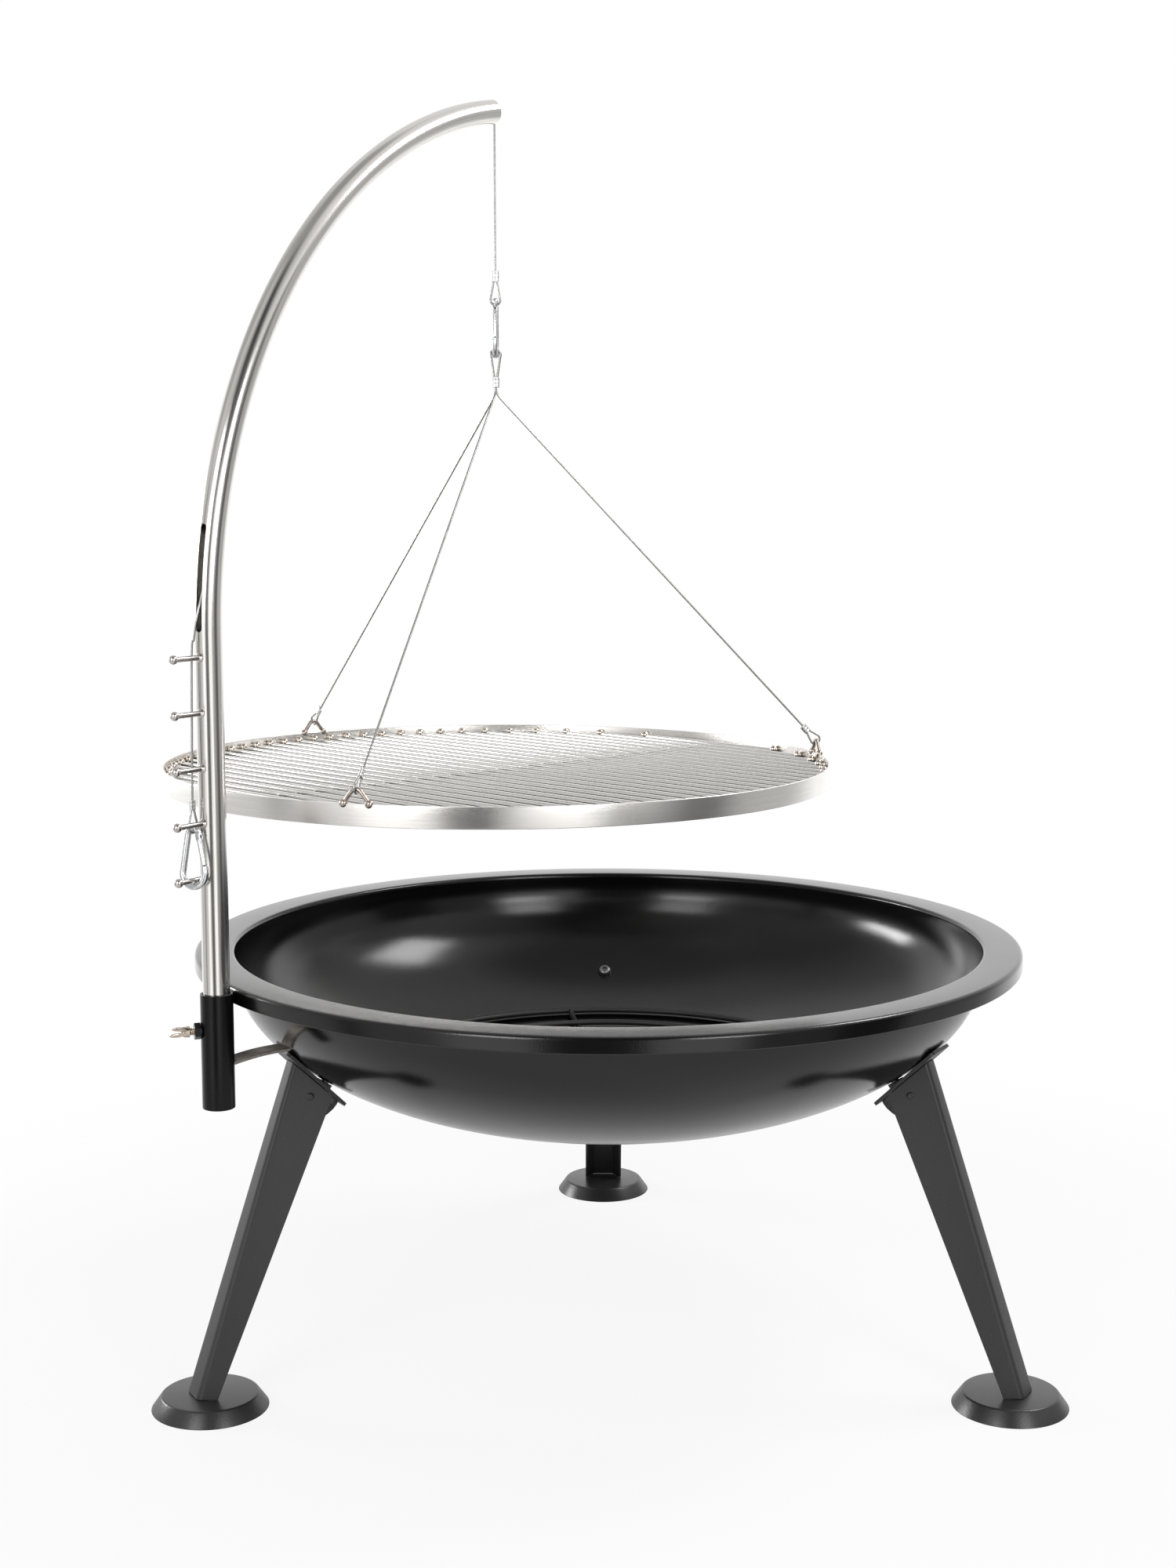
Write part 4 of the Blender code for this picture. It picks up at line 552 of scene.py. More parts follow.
def buildBowl():
    # half an ellipse from the middle to the wall, then the rim's rounded steps, and back outside
    b = bowlLook
    turn = np.linspace(0, 0.5 * pi, 72)
    wall = b["sheet"]
    inner = np.stack([(b["radius"] - wall) * np.sin(turn),
                      b["edgeHeight"] - (b["depth"] - wall) * np.cos(turn)], axis=1)
    outer = np.stack([b["radius"] * np.sin(turn), b["edgeHeight"] - b["depth"] * np.cos(turn)], axis=1)
    top, under = b["rimTop"], b["rimTop"] - wall
    corners = np.array([
        (b["radius"] - wall, b["edgeHeight"] + 0.0010), (b["radius"] - wall, top), (b["rimRadius"], top),
        (b["rimRadius"], top - b["lip"]), (b["rimRadius"] - wall, top - b["lip"]),
        (b["rimRadius"] - wall, under), (b["radius"], under), (b["radius"], b["edgeHeight"] + 0.0010)])
    radii = np.array([0, b["rimRound"], b["rimRound"], 0.0010, 0.0010, 0.0018, 0.0030, 0])
    rim = cornerCurves(corners, np.roll(corners, 1, axis=0), np.roll(corners, -1, axis=0),
                       radii[:, None], 8)
    rim = np.concatenate([corners[:1], rim[1:-1].reshape(-1, 2), corners[-1:]])
    profile = np.concatenate([inner, rim, outer[::-1]])
    shell = turnedShell(profile, b["segments"], uprightAxes(bowlAxis))
    makePiece("fireBowl", [shell], bowlPaint, "stand", ["fire_bowl"], 30.0)


buildBowl()
print("stage: bowl made")


footLook = {"radius": 0.0532, "topRadius": 0.0438, "height": 0.0132, "sheet": 0.0020, "segments": 96}
legLook = {
    "sheet": 0.0025, "innerReach": 0.3037, "innerHeight": 0.2803, "innerSlope": 0.4415,
    "backReach": 0.3368, "backHeight": 0.3130, "backSlope": 0.3374,
    "openHalf": 0.0212, "backHalfTop": 0.0090, "backHalfBottom": 0.0130, "fold": 0.0045,
}
plateLook = {"tangentReach": 0.3320, "outer": 0.3455, "inner": 0.2895, "thickness": 0.0030,
             "clearance": 0.0005}


def buildFoot(name, angle):
    f = footLook
    corners = [(0.0, f["height"]), (f["topRadius"], f["height"]), (f["radius"], 0.0),
               (f["radius"] - 0.0024, 0.0), (f["topRadius"] - 0.0024, f["height"] - f["sheet"]),
               (0.0, f["height"] - f["sheet"])]
    profile = roundedCorners(corners, np.array([0, 0.0016, 0.0006, 0.0004, 0.001, 0]))
    place = uprightAxes(bowlAxis + direction(angle) * layout["footReach"])
    makePiece("foot_" + name, [turnedShell(profile, f["segments"], place)], footPaint, "stand",
              ["foot_" + name], 30.0)


def legSection(height, offset):
    # one open edge, round the folded back, to the other; offset moves it across the sheet
    g = legLook
    innerReach = g["innerReach"] + (g["innerHeight"] - height) * g["innerSlope"]
    backReach = g["backReach"] + (g["backHeight"] - height) * g["backSlope"]
    half = g["backHalfBottom"] + (g["backHalfTop"] - g["backHalfBottom"]) * height / g["backHeight"]
    corners = np.array([(innerReach, g["openHalf"]), (backReach, half), (backReach, -half),
                        (innerReach, -g["openHalf"])])
    bends = cornerCurves(corners[1:3], corners[0:2], corners[2:4], g["fold"], 9)
    line = np.concatenate([corners[:1], bends.reshape(-1, 2), corners[3:]])
    tangent = np.gradient(line, axis=0)
    tangent /= np.linalg.norm(tangent, axis=1)[:, None]
    normal = np.stack([tangent[:, 1], -tangent[:, 0]], axis=1)
    inward = -1.0 if normal[len(line) // 2, 0] > 0 else 1.0
    return line + normal * inward * offset


def wallFrame(angle, lean, reach, height, clearance=0.0):
    # x up the bowl's slope, z out of its underside
    out = direction(angle)
    along = out * cos(lean) + up * sin(lean)
    axis = out * sin(lean) - up * cos(lean)
    return axes(bowlAxis + out * reach + up * height + axis * clearance, along, np.cross(axis, along), axis)

def plateFrame(angle):
    # origin on the plate's top face
    tangentReach = plateLook["tangentReach"]
    lean = atan(bowlSlope(tangentReach))
    middle = 0.5 * (plateLook["outer"] + plateLook["inner"])
    height = bowlHeight(tangentReach) + (middle - tangentReach) * np.tan(lean)
    return wallFrame(angle, lean, middle, height, plateLook["clearance"])

def buildLeg(name, angle):
    # straight lines run from the foot's top to the plane under the mount plate
    lowHeight, highHeight = footLook["height"] + 0.0003, 0.290
    plate = plateFrame(angle)
    depth = plateLook["thickness"] + 0.0003
    sheets = []
    for offset in (0.0, legLook["sheet"]):
        low, high = legSection(lowHeight, offset), legSection(highHeight, offset)
        ends = []
        for section, height in ((low, lowHeight), (high, highHeight)):
            ends.append(bowlAxis + direction(angle) * section[:, :1] + across(angle) * section[:, 1:]
                        + up * height)
        near, far = [(e - plate[:3, 3]) @ plate[:3, 2] for e in ends]
        share = (depth - near) / (far - near)
        top = ends[0] + (ends[1] - ends[0]) * share[:, None]
        t = np.linspace(0, 1, 25)[:, None, None]
        sheets.append(ends[0][None] * (1 - t) + top[None] * t)
    piece = makePiece("leg_" + name, [stripShell(*sheets)], legPaint, "stand", ["leg_" + name],
                      34.0)
    finishEdges(piece, 0.0005)


for legName, legAngle in layout["legAngles"].items():
    buildFoot(legName, legAngle)
    buildLeg(legName, legAngle)
print("stage: legs and feet made")


boltLook = {"reach": 0.3030, "headRadius": 0.0070, "headHeight": 0.0044, "shank": 0.0039}


def buildBolt(name, angle):
    g = boltLook
    place = wallFrame(angle, atan(bowlSlope(g["reach"])), g["reach"], bowlHeight(g["reach"]))
    seat = -bowlLook["sheet"] - 0.0003
    top = seat - g["headHeight"] - 0.0006
    turn = np.linspace(0, 0.5 * pi, 10)
    dome = np.stack([g["headRadius"] * (0.52 + 0.48 * np.cos(turn)),
                     seat - 0.0012 - (g["headHeight"] - 0.0006) * np.sin(turn)], axis=1)
    end = 0.0245 - g["headHeight"]
    profile = np.concatenate([[(0.0, end), (g["shank"] - 0.0006, end), (g["shank"], end - 0.0006),
                               (g["shank"], seat), (g["headRadius"], seat)], dome,
                              [(0.0026, top), (0.0025, top + 0.0003), (0.0024, top + 0.0024),
                               (0.0, top + 0.0030)]])
    makePiece("bowlBolt_" + name, [turnedShell(profile, 48, place)], boltBlack, "stand",
              ["bowl_bolt_" + name], 35.0)


for legName, legAngle in layout["legAngles"].items():
    buildBolt(legName, legAngle)
print("stage: bolts made")


coalLook = {"rings": [0.2360, 0.1800, 0.1240, 0.0680], "wire": 0.0030, "bars": [100.0, 10.0],
            "bends": [0.2348, 0.2245, 0.2120], "level": 0.20}


def buildCoalGrate():
    # circles of wire welded on two crossed bars, whose ends bend up to the widest ring
    g = coalLook
    wall = bowlLook["radius"] - bowlLook["sheet"]
    share = g["rings"][0] / wall
    slope = atan((bowlLook["depth"] - bowlLook["sheet"]) / wall * share / sqrt(1 - share ** 2))
    height = bowlHeight(g["rings"][0], True) + (g["wire"] + 0.0015) / cos(slope)
    low = height - 2 * g["wire"] + 0.0016
    shells = []
    angle = fullTurn(160)
    for radius in g["rings"]:
        ring = np.stack([radius * np.cos(angle), radius * np.sin(angle), np.full(160, height)], axis=1)
        shells.append(tubeShell(ring + bowlAxis, g["wire"], 16, up, closed=True))
    bends, rise = np.array(g["bends"]), np.array([height, low + 0.0014, low])
    reach = np.concatenate([-bends, np.linspace(-g["level"], g["level"], 9), bends[::-1]])
    rise = np.concatenate([rise, np.full(9, low), rise[::-1]])
    for barAngle in g["bars"]:
        path = bowlAxis + direction(barAngle) * reach[:, None] + up * rise[:, None]
        shells.append(tubeShell(evenPath(path, 0.004), g["wire"], 16, across(barAngle)))
    makePiece("charcoalGrate", shells, coalPaint, "stand", ["charcoal_grate"])


buildCoalGrate()
print("stage: charcoal grate made")


sleeveLook = {"radius": 0.0145, "bore": 0.0125, "bottom": 0.2845, "top": 0.3880, "screwAngle": 198.0,
              "screwHeight": 0.3550, "wingTurn": 30.0}


def sideFrame(angle, height):
    out = direction(angle)
    return axes(poleAxis + up * height, np.cross(up, out), up, out)


def buildSleeve():
    s = sleeveLook
    corners = [(s["bore"], s["bottom"]), (s["radius"], s["bottom"]), (s["radius"], s["top"]),
               (s["bore"], s["top"])]
    profile = roundedCorners(corners, np.array([0.0003, 0.0016, 0.0008, 0.0004]))
    upright = uprightAxes(poleAxis)
    makePiece("poleSleeve", [turnedShell(profile, 96, upright)], sleevePaint, "stand", ["pole_sleeve"],
              30.0)
    floorDisc = [(0.0, s["bottom"] + 0.0003), (s["bore"] - 0.0003, s["bottom"] + 0.0003),
                 (s["bore"] - 0.0003, s["bottom"] + 0.0043), (0.0, s["bottom"] + 0.0043)]
    makePiece("sleeveFloor", [turnedShell(floorDisc, 72, upright)], sleevePaint, "stand",
              ["sleeve_floor"])


braceLook = {"angle": 213.8, "half": 0.0100, "thickness": 0.0030, "sleeveHeight": 0.3250,
             "bowlHeight": 0.3300, "rise": 0.0050, "bow": 0.0015, "sleeveReach": 0.0148, "gap": 0.0012}

def buildBrace():
    # a flat bar that follows the sleeve's and the bowl's curve at its ends and rises between them
    g = braceLook
    inward, side = -direction(g["angle"]), across(g["angle"])
    drop = (bowlLook["edgeHeight"] - g["bowlHeight"]) / bowlLook["depth"]
    wall = bowlLook["radius"] * sqrt(1 - drop ** 2) + g["gap"]
    off = np.linspace(-g["half"], g["half"], 17)
    t = np.linspace(0, 1, 29)
    near = np.sqrt(g["sleeveReach"] ** 2 - off ** 2)
    far = np.linalg.norm(poleAxis - bowlAxis) - np.sqrt(wall ** 2 - off ** 2)
    reach = near[None] + (far - near)[None] * t[:, None]
    height = g["sleeveHeight"] + g["rise"] * t + g["bow"] * np.sin(pi * t)
    middle = (poleAxis + inward * reach[..., None] + side * off[None, :, None]
              + up * height[:, None, None])
    half = up * 0.5 * g["thickness"]
    piece = makePiece("sleeveBrace", [stripShell(middle + half, middle - half)], braceSteel, "stand",
                      ["sleeve_brace"])
    finishEdges(piece, 0.0004)


screwLook = {"start": 0.0123, "end": 0.0242, "pitch": 0.00125, "radius": 0.00325, "depth": 0.00026}

def buildClampScrew():
    s, g = sleeveLook, screwLook
    screw = sideFrame(s["screwAngle"], s["screwHeight"])
    # the shank's thread is a helix: radius rises and falls with the height minus the turn
    height = np.linspace(g["start"], g["end"], 96)
    angle = fullTurn(48)
    phase = 2 * pi * height[:, None] / g["pitch"] - angle
    radius = g["radius"] + g["depth"] * np.cos(phase)
    grid = np.stack([radius * np.cos(angle), radius * np.sin(angle), np.repeat(height[:, None], 48, 1)],
                    axis=-1)
    points, faces = cappedRings(grid)
    makePiece("wingScrewShank", [(placed(points, screw), faces)], wingSteel, "screw_shank",
              ["wing_screw_shank"], 60.0)
    hub = roundedCorners([(0.0, 0.0245), (0.0052, 0.0245), (0.0046, 0.0298), (0.0030, 0.0320),
                          (0.0, 0.0320)], np.array([0, 0.0006, 0.001, 0.0012, 0]))
    turned = screw @ axes(np.zeros(3), direction(s["wingTurn"]), across(s["wingTurn"]), up)
    shells = [turnedShell(hub, 48, screw)]
    # each wing is a rounded plate: its closed outline shrinks towards both faces on half a circle
    outline = np.array([(0.0022, 0.0252), (0.0060, 0.0250), (0.0098, 0.0272), (0.0132, 0.0322),
                        (0.0138, 0.0368), (0.0122, 0.0404), (0.0096, 0.0408), (0.0072, 0.0380),
                        (0.0054, 0.0336), (0.0030, 0.0312), (0.0020, 0.0290)])
    edge = throughPoints(np.concatenate([outline[-1:], outline, outline[:2]]), 6)
    centre = edge.mean(axis=0)
    size = np.sqrt(np.sin(np.linspace(0, pi, 17)).clip(0, 1))
    lift = 0.00135 * np.cos(np.linspace(0, pi, 17))
    for side in (1, -1):
        rings = centre + (edge - centre)[None] * size[:, None, None]
        grid = np.stack([rings[..., 0] * side, np.repeat(lift[:, None], len(edge), 1),
                         rings[..., 1]], axis=-1)
        points, faces = cappedRings(grid)
        shells.append((placed(points, turned), faces))
    makePiece("wingScrewHead", shells, wingSteel, "screw_wings", ["wing_screw_head"], 40.0)


buildSleeve()
buildBrace()
buildClampScrew()
print("stage: sleeve, brace and clamp made")


poleLook = {"radius": 0.0120, "wall": 0.0015, "bendStart": 0.7034, "bendRadius": 0.5000, "bendAngle": 80.0,
            "slotBottom": 0.7060, "slotTop": 0.7970, "slotHalf": 0.0034, "sides": 96}


def armCurve(distance):
    # straight up, then round the bend; distance is measured from the bend's start
    p = poleLook
    turn = np.clip(distance / p["bendRadius"], 0, None)
    reach = p["bendRadius"] * (1 - np.cos(turn))
    height = p["bendStart"] + np.where(distance < 0, distance, p["bendRadius"] * np.sin(turn))
    return reach, height, turn


def buildPole():
    # the wall is a sheet round the tube that starts and ends at the slot's two edges; where there is
    # no slot the edges meet at the back
    p = poleLook
    bottom = 0.2891 - p["bendStart"]
    length = radians(p["bendAngle"]) * p["bendRadius"]
    slotLow = p["slotBottom"] - p["bendStart"]
    slotHigh = p["slotTop"] - p["bendStart"]
    ends = np.sin(np.linspace(-0.5 * pi, 0.5 * pi, 13)) * p["slotHalf"]
    lowEnd = slotLow + p["slotHalf"] + ends[:7]
    highEnd = slotHigh - p["slotHalf"] + ends[6:]
    s = np.concatenate([np.linspace(bottom, slotLow - 0.001, 24), lowEnd,
                        np.linspace(lowEnd[-1], highEnd[0], 12)[1:-1], highEnd,
                        np.linspace(slotHigh + 0.001, length, 90)])
    inLow = np.clip((slotLow + p["slotHalf"] - s) / p["slotHalf"], 0, 1)
    inHigh = np.clip((s - slotHigh + p["slotHalf"]) / p["slotHalf"], 0, 1)
    half = p["slotHalf"] * np.sqrt(np.clip(1 - np.maximum(inLow, inHigh) ** 2, 0, 1))
    half[(s <= slotLow) | (s >= slotHigh)] = 0.0
    reach, height, turn = armCurve(s)
    back = -direction(layout["armAngle"])
    side = across(layout["armAngle"])
    sheets = []
    for radius in (p["radius"], p["radius"] - p["wall"]):
        gap = np.arcsin(half / radius)
        share = np.linspace(0, 1, p["sides"] + 1)
        angle = gap[:, None] + share * (2 * pi - 2 * gap[:, None])
        outward = (back * np.cos(turn)[:, None] + up * np.sin(turn)[:, None])
        middle = poleAxis + direction(layout["armAngle"]) * reach[:, None] + up * height[:, None]
        sheets.append(middle[:, None] + (outward[:, None] * np.cos(angle)[..., None]
                                         + side * np.sin(angle)[..., None]) * radius)
    outer, inner = sheets
    flat = np.stack([np.cos(angle) * p["radius"], np.sin(angle) * p["radius"],
                     np.repeat(s[:, None], p["sides"] + 1, 1)], axis=-1).reshape(-1, 3)
    rows, cols = outer.shape[:2]
    index = np.arange(rows * cols).reshape(rows, cols)
    count = rows * cols
    skin = gridFaces(rows, cols, False, False)
    inSlot = np.where(half > 0)[0]
    openRows = slice(inSlot[0] - 1, inSlot[-1] + 2)
    edges = [index[0], index[-1], index[openRows, 0], index[openRows, -1]]
    points = np.concatenate([outer.reshape(-1, 3), inner.reshape(-1, 3)])
    faces = [skin, skin[:, ::-1] + count] + [wallFaces(edge, count) for edge in edges]
    makePiece("poleTube", [(points, faces)], poleSteel, "pole", ["pole_tube"], 40.0,
              np.concatenate([flat, flat]))


pegLook = {"heights": (0.4923, 0.5403, 0.5883, 0.6363, 0.6843), "ball": 0.0040, "reach": 0.0430}

def buildPegs():
    ball = np.linspace(0.97 * pi - 0.55, 0, 18)
    tip = np.stack([pegLook["ball"] * np.sin(ball), pegLook["reach"] + pegLook["ball"] * np.cos(ball)],
                   axis=1)
    tip[-1, 0] = 0.0
    root = [(0.0, 0.0120), (0.0042, 0.0120), (0.0036, 0.0128), (0.0028, 0.0136), (0.0023, 0.0146)]
    profile = np.concatenate([root, tip])
    for number, height in enumerate(pegLook["heights"], 1):
        shell = turnedShell(profile, 40, sideFrame(layout["armAngle"] + 180.0, height))
        makePiece("hookPeg_%d" % number, [shell], pegSteel, "pole", ["hook_peg_%d" % number],
                  40.0)


buildPole()
buildPegs()
print("stage: pole made")


ropeLook = {"radius": 0.0010, "lay": 0.0110, "sides": 18, "spacing": 0.0009, "runRadius": 0.4911,
            "legHalf": 0.0013, "hold": 0.0043}


def ropeShell(path, guide):
    return tubeShell(path, ropeLook["radius"] * 1.04, ropeLook["sides"], guide, lay=ropeLook["lay"])


def makeRope(name, path, guide, body, solid):
    return makePiece(name, [ropeShell(path, guide)], wireSteel, body, [solid], 50.0)

def buildRopeRun():
    # up through the slot, along the inside of the bend, and over the mouth's lower lip
    turn = np.radians(19.3 + (79.0 - 19.3) * np.linspace(0, 1, 17))
    reach = poleLook["bendRadius"] - ropeLook["runRadius"] * np.cos(turn)
    height = poleLook["bendStart"] + ropeLook["runRadius"] * np.sin(turn)
    bend = np.radians(96.0 * (1 - np.arange(1, 7) / 6))
    places = ([(-0.0148, 0.0029, 0.7000), (-0.0146, 0.0014, 0.7100), (-0.0134, 0.0004, 0.7185),
               (-0.0105, 0.0, 0.7275)] + [(r, 0.0, h) for r, h in zip(reach, height)]
              + [(0.4152 + 0.0028 * cos(b), 0.0, 1.1847 + 0.0028 * sin(b)) for b in bend]
              + [(layout["hangReach"], 0.0, 1.1780)])
    path = smoothPath([armPlace(*p) for p in places], ropeLook["spacing"])
    makeRope("ropeRun", path, across(layout["armAngle"]), "pole", "rope_run")


def buildHangingWires():
    path = evenPath(np.array([hangAxis + up * 1.1780, hangAxis + up * 1.0400]), ropeLook["spacing"])
    drop = makeRope("dropWire", path, (1, 0, 0), None, "drop_wire")
    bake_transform(drop)
    hooked = tailHook()
    places = [armPlace(-0.0148, 0.0029, 0.7000), armPlace(-0.0153, 0.0056, 0.6843),
              np.array([hooked[0], hooked[1], tailLook["ferruleTop"] - 0.0010])]
    path = smoothPath(places, ropeLook["spacing"])
    tail = makeRope("tailWire", path, across(layout["armAngle"]), None, "tail_wire")
    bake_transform(tail)


def eyePath(start, along, side, length, half=0.0050):
    # two legs leave the ferrule side by side and meet round an arc
    turn = np.radians(np.linspace(-25.0, 205.0, 15))
    arc = start + side * half * np.cos(turn)[:, None] + along * (length - half + half * np.sin(turn)[:, None])
    leg = side * ropeLook["legHalf"]
    return smoothPath(np.concatenate([[start + leg], arc, [start - leg]]), ropeLook["spacing"])


def ferruleShell(matrix, length, half=(0.0037, 0.0021)):
    # an oval sleeve: its size dips at two crimps and rounds off at both ends
    z = np.linspace(0, 1, 41)
    crimp = 1 - 0.10 * (np.exp(-((z - 0.32) / 0.09) ** 2) + np.exp(-((z - 0.68) / 0.09) ** 2))
    edge = np.sqrt(np.clip(1 - ((np.abs(z - 0.5) - 0.46) / 0.04).clip(0, 1) ** 2 * 0.35, 0, 1))
    angle = fullTurn(40)
    grid = np.stack([(half[0] * edge)[:, None] * np.cos(angle), (half[1] * edge * crimp)[:, None]
                     * np.sin(angle), np.repeat(z[:, None] * length, 40, 1)], axis=-1)
    points, faces = cappedRings(grid)
    return placed(points, matrix), faces


def makeFerrule(name, matrix, length, body, solids=()):
    makePiece(name, [ferruleShell(matrix, length)], ferruleMetal, body, solids, 40.0)

def buildRopeEnds():
    x, y = np.array([1.0, 0, 0]), np.array([0, 1.0, 0])
    makeFerrule("upperFerrule", uprightAxes(hangAxis + up * 1.0325), 0.0107, "rope_end", ["upper_ferrule"])
    start = hangAxis + up * 1.0345
    path = eyePath(start, -up, x, start[2] - (clipLook["upperTop"] - ropeLook["hold"]))
    makeRope("upperEye", path, y, "rope_eye", "upper_loop")
    hooked = tailHook()
    low, high = tailLook["ferruleBottom"], tailLook["ferruleTop"]
    along = across(tailLook["gateAngle"])
    start = np.array([hooked[0], hooked[1], low + 0.0020])
    path = eyePath(start, -up, along, start[2] - hooked[2], tailLook["eyeHalf"])
    sleeve = axes(np.array([hooked[0], hooked[1], low]), along, np.cross(up, along), up)
    makeRope("tailEye", path, np.cross(up, along), "tail", "tail_eye")
    makeFerrule("tailFerrule", sleeve, high - low, "tail")


clipLook = {"wire": 0.0030, "upperTop": 1.0140, "upperLength": 0.0540, "lowerLength": 0.0510,
            "narrow": 0.0055, "wide": 0.0120, "gate": 0.0024, "tongue": 0.0010, "pin": 0.0008,
            "pinHalf": 0.0027, "barStart": 0.0036, "cheekEnds": (-0.0021, 0.0046), "cheekOff": 0.00175,
            "cheekHalf": 0.00055}


tailLook = {"lean": 7.0, "tilt": 9.0, "gateAngle": 333.0, "reach": -0.0242, "eyeHalf": 0.0060,
            "ferruleTop": 0.5610, "ferruleBottom": 0.5525}


def lowerRingFrame():
    # hooked over the lowest peg: it leans away from its gate and from the peg above
    t = tailLook
    lean, tilt = radians(t["lean"]), radians(t["tilt"])
    level = direction(t["gateAngle"])
    upright = up * cos(tilt) + across(t["gateAngle"]) * sin(tilt)
    ringUp = upright * cos(lean) - level * sin(lean)
    gateSide = level * cos(lean) + upright * sin(lean)
    top = armPlace(t["reach"], 0.0, 0.4867) + ringUp * clipLook["lowerLength"]
    return axes(top, gateSide, ringUp, np.cross(gateSide, ringUp))


def tailHook():
    # middle of the rope where it hangs in the lower carabiner
    ring = lowerRingFrame()
    return ring[:3, 3] - ring[:3, 1] * ropeLook["hold"]


def upperRingFrame():
    return axes(hangAxis + up * clipLook["upperTop"], (0, -1, 0), (0, 0, 1), (-1, 0, 0))


def clipLine(length):
    # a small circle at the top and a large one below, joined by the lines that touch both
    g = clipLook
    beta = np.arcsin((g["wide"] - g["narrow"]) / (length - g["wide"] - g["narrow"]))
    top, bottom = np.array([0, -g["narrow"]]), np.array([0, g["wide"] - length])
    normal, down = np.array([cos(beta), sin(beta)]), np.array([sin(beta), -cos(beta)])
    pivot = top + normal * g["narrow"] + down * 0.0020
    small = beta + (pi - 2 * beta) * np.linspace(0, 1, 24)
    large = pi - beta + (pi + 2 * beta) * np.linspace(0, 1, 40)
    line = np.concatenate([[pivot + down * 0.0022],
                           top + np.stack([np.cos(small), np.sin(small)], 1) * g["narrow"],
                           bottom + np.stack([np.cos(large), np.sin(large)], 1) * g["wide"]])
    nose = line[-1] - down * 0.0030
    return np.concatenate([line, [nose]]), pivot, down, nose


def roundOff(distance, start, radius, least):
    # a factor that falls on a quarter circle where the distance is less than the start
    return np.sqrt(np.clip(1 - (np.clip(start - distance, 0, 1) / radius) ** 2, least, 1))

def buildClip(prefix, ring, body, gateBody):
    g, through = clipLook, ring[:3, 2]
    line, pivot, down, nose = clipLine(g[prefix + "Length"])
    path = evenPath(placed(np.column_stack([line, np.zeros(len(line))]), ring), 0.0009)
    first, second = pathFrames(path, through)[1:]
    along = lengthsAlong(path)
    tail = along[-1] - along
    # the section is round, but flattens to a tongue at the hinge and tapers a little at the nose
    flat = np.clip((along - 0.0058) / 0.0022, 0, 1)
    broad = g["tongue"] + (g["wire"] - g["tongue"]) * (flat * flat * (3 - 2 * flat))
    wide = g["wire"] * roundOff(along, 0.0018, 0.0020, 0.05) * roundOff(tail, 0.0010, 0.0012, 0.05)
    broad = broad * np.where(tail < 0.001, wide / g["wire"], 1.0)
    angle = fullTurn(28)
    grid = (path[:, None] + first[:, None] * (wide[:, None] * np.cos(angle))[..., None]
            + second[:, None] * (broad[:, None] * np.sin(angle))[..., None])
    hinge = placed(np.array([[*pivot, 0.0]]), ring)[0]
    pin = np.linspace(-g["pinHalf"], g["pinHalf"], 3)[:, None] * through + hinge
    pinShell = tubeShell(pin, g["pin"], 20, ring[:3, 0], roundEnds=0.0003)
    makePiece(prefix + "Carabiner", [cappedRings(grid), pinShell], zincSteel, body,
              [prefix + "_carabiner"], 45.0)
    # the gate: a round bar that opens into two cheeks beside the tongue
    downWorld = ring[:3, 0] * down[0] + ring[:3, 1] * down[1]
    length = np.linalg.norm(nose - pivot) - 0.0004
    bar = hinge + downWorld * np.linspace(g["barStart"], length, 40)[:, None]
    shells = [tubeShell(bar, g["gate"], 28, through, roundEnds=0.0006)]
    reach, turn = np.linspace(*g["cheekEnds"], 12), fullTurn(20)
    width = g["gate"] * roundOff(reach, 0.0, 0.0022, 0.02)
    shape = np.abs(np.cos(turn)) ** 0.8 * np.sign(np.cos(turn))
    thick = np.abs(np.sin(turn)) ** 0.5 * np.sign(np.sin(turn))
    for side in (1, -1):
        cheek = hinge + through * g["cheekOff"] * side + downWorld * reach[:, None]
        first, second = pathFrames(cheek, through)[1:]
        grid = (cheek[:, None] + first[:, None] * (width[:, None] * shape)[..., None]
                + second[:, None] * (g["cheekHalf"] * thick)[None, :, None])
        shells.append(cappedRings(grid))
    makePiece(prefix + "Gate", shells, zincSteel, gateBody, [prefix + "_gate"], 45.0)


buildRopeRun()
buildHangingWires()
buildRopeEnds()
buildClip("upper", upperRingFrame(), "hanging_grate", "upper_gate")
buildClip("lower", lowerRingFrame(), "tail", "lower_gate")
print("stage: rope and carabiners made")


grateLook = {"radius": 0.3400, "bottom": 0.5325, "height": 0.0200, "band": 0.0030, "rod": 0.0025,
             "pitch": 0.02124, "each": 15, "rodAngle": -45.0, "rodHeight": 0.5440, "bar": 0.0040,
             "bead": 0.0047}
bailLook = {"angles": {"front_left": 251.2, "right": 11.2, "rear_left": 131.2}, "radius": 0.0020,
            "reach": 0.3385, "half": 0.0125, "foot": 0.5542, "apex": 0.5655, "top": 0.0060,
            "bead": 0.0040}
bridleLook = {"top": 0.9387, "bottom": 0.9285, "spacing": 0.0047,
              "order": {"front_left": -1, "right": 0, "rear_left": 1}, "eye": 0.0160, "ferrule": 0.0090}


def buildBand():
    g = grateLook
    inner, outer = g["radius"] - g["band"], g["radius"]
    low, high = g["bottom"], g["bottom"] + g["height"]
    profile = roundedCorners([(inner, low), (outer, low), (outer, high), (inner, high)], 0.0005, 4)
    makePiece("grateBand", [turnedShell(profile, 288, uprightAxes(hangAxis))],
              gratingBand, "hanging_grate", ["grate_band"], 35.0)


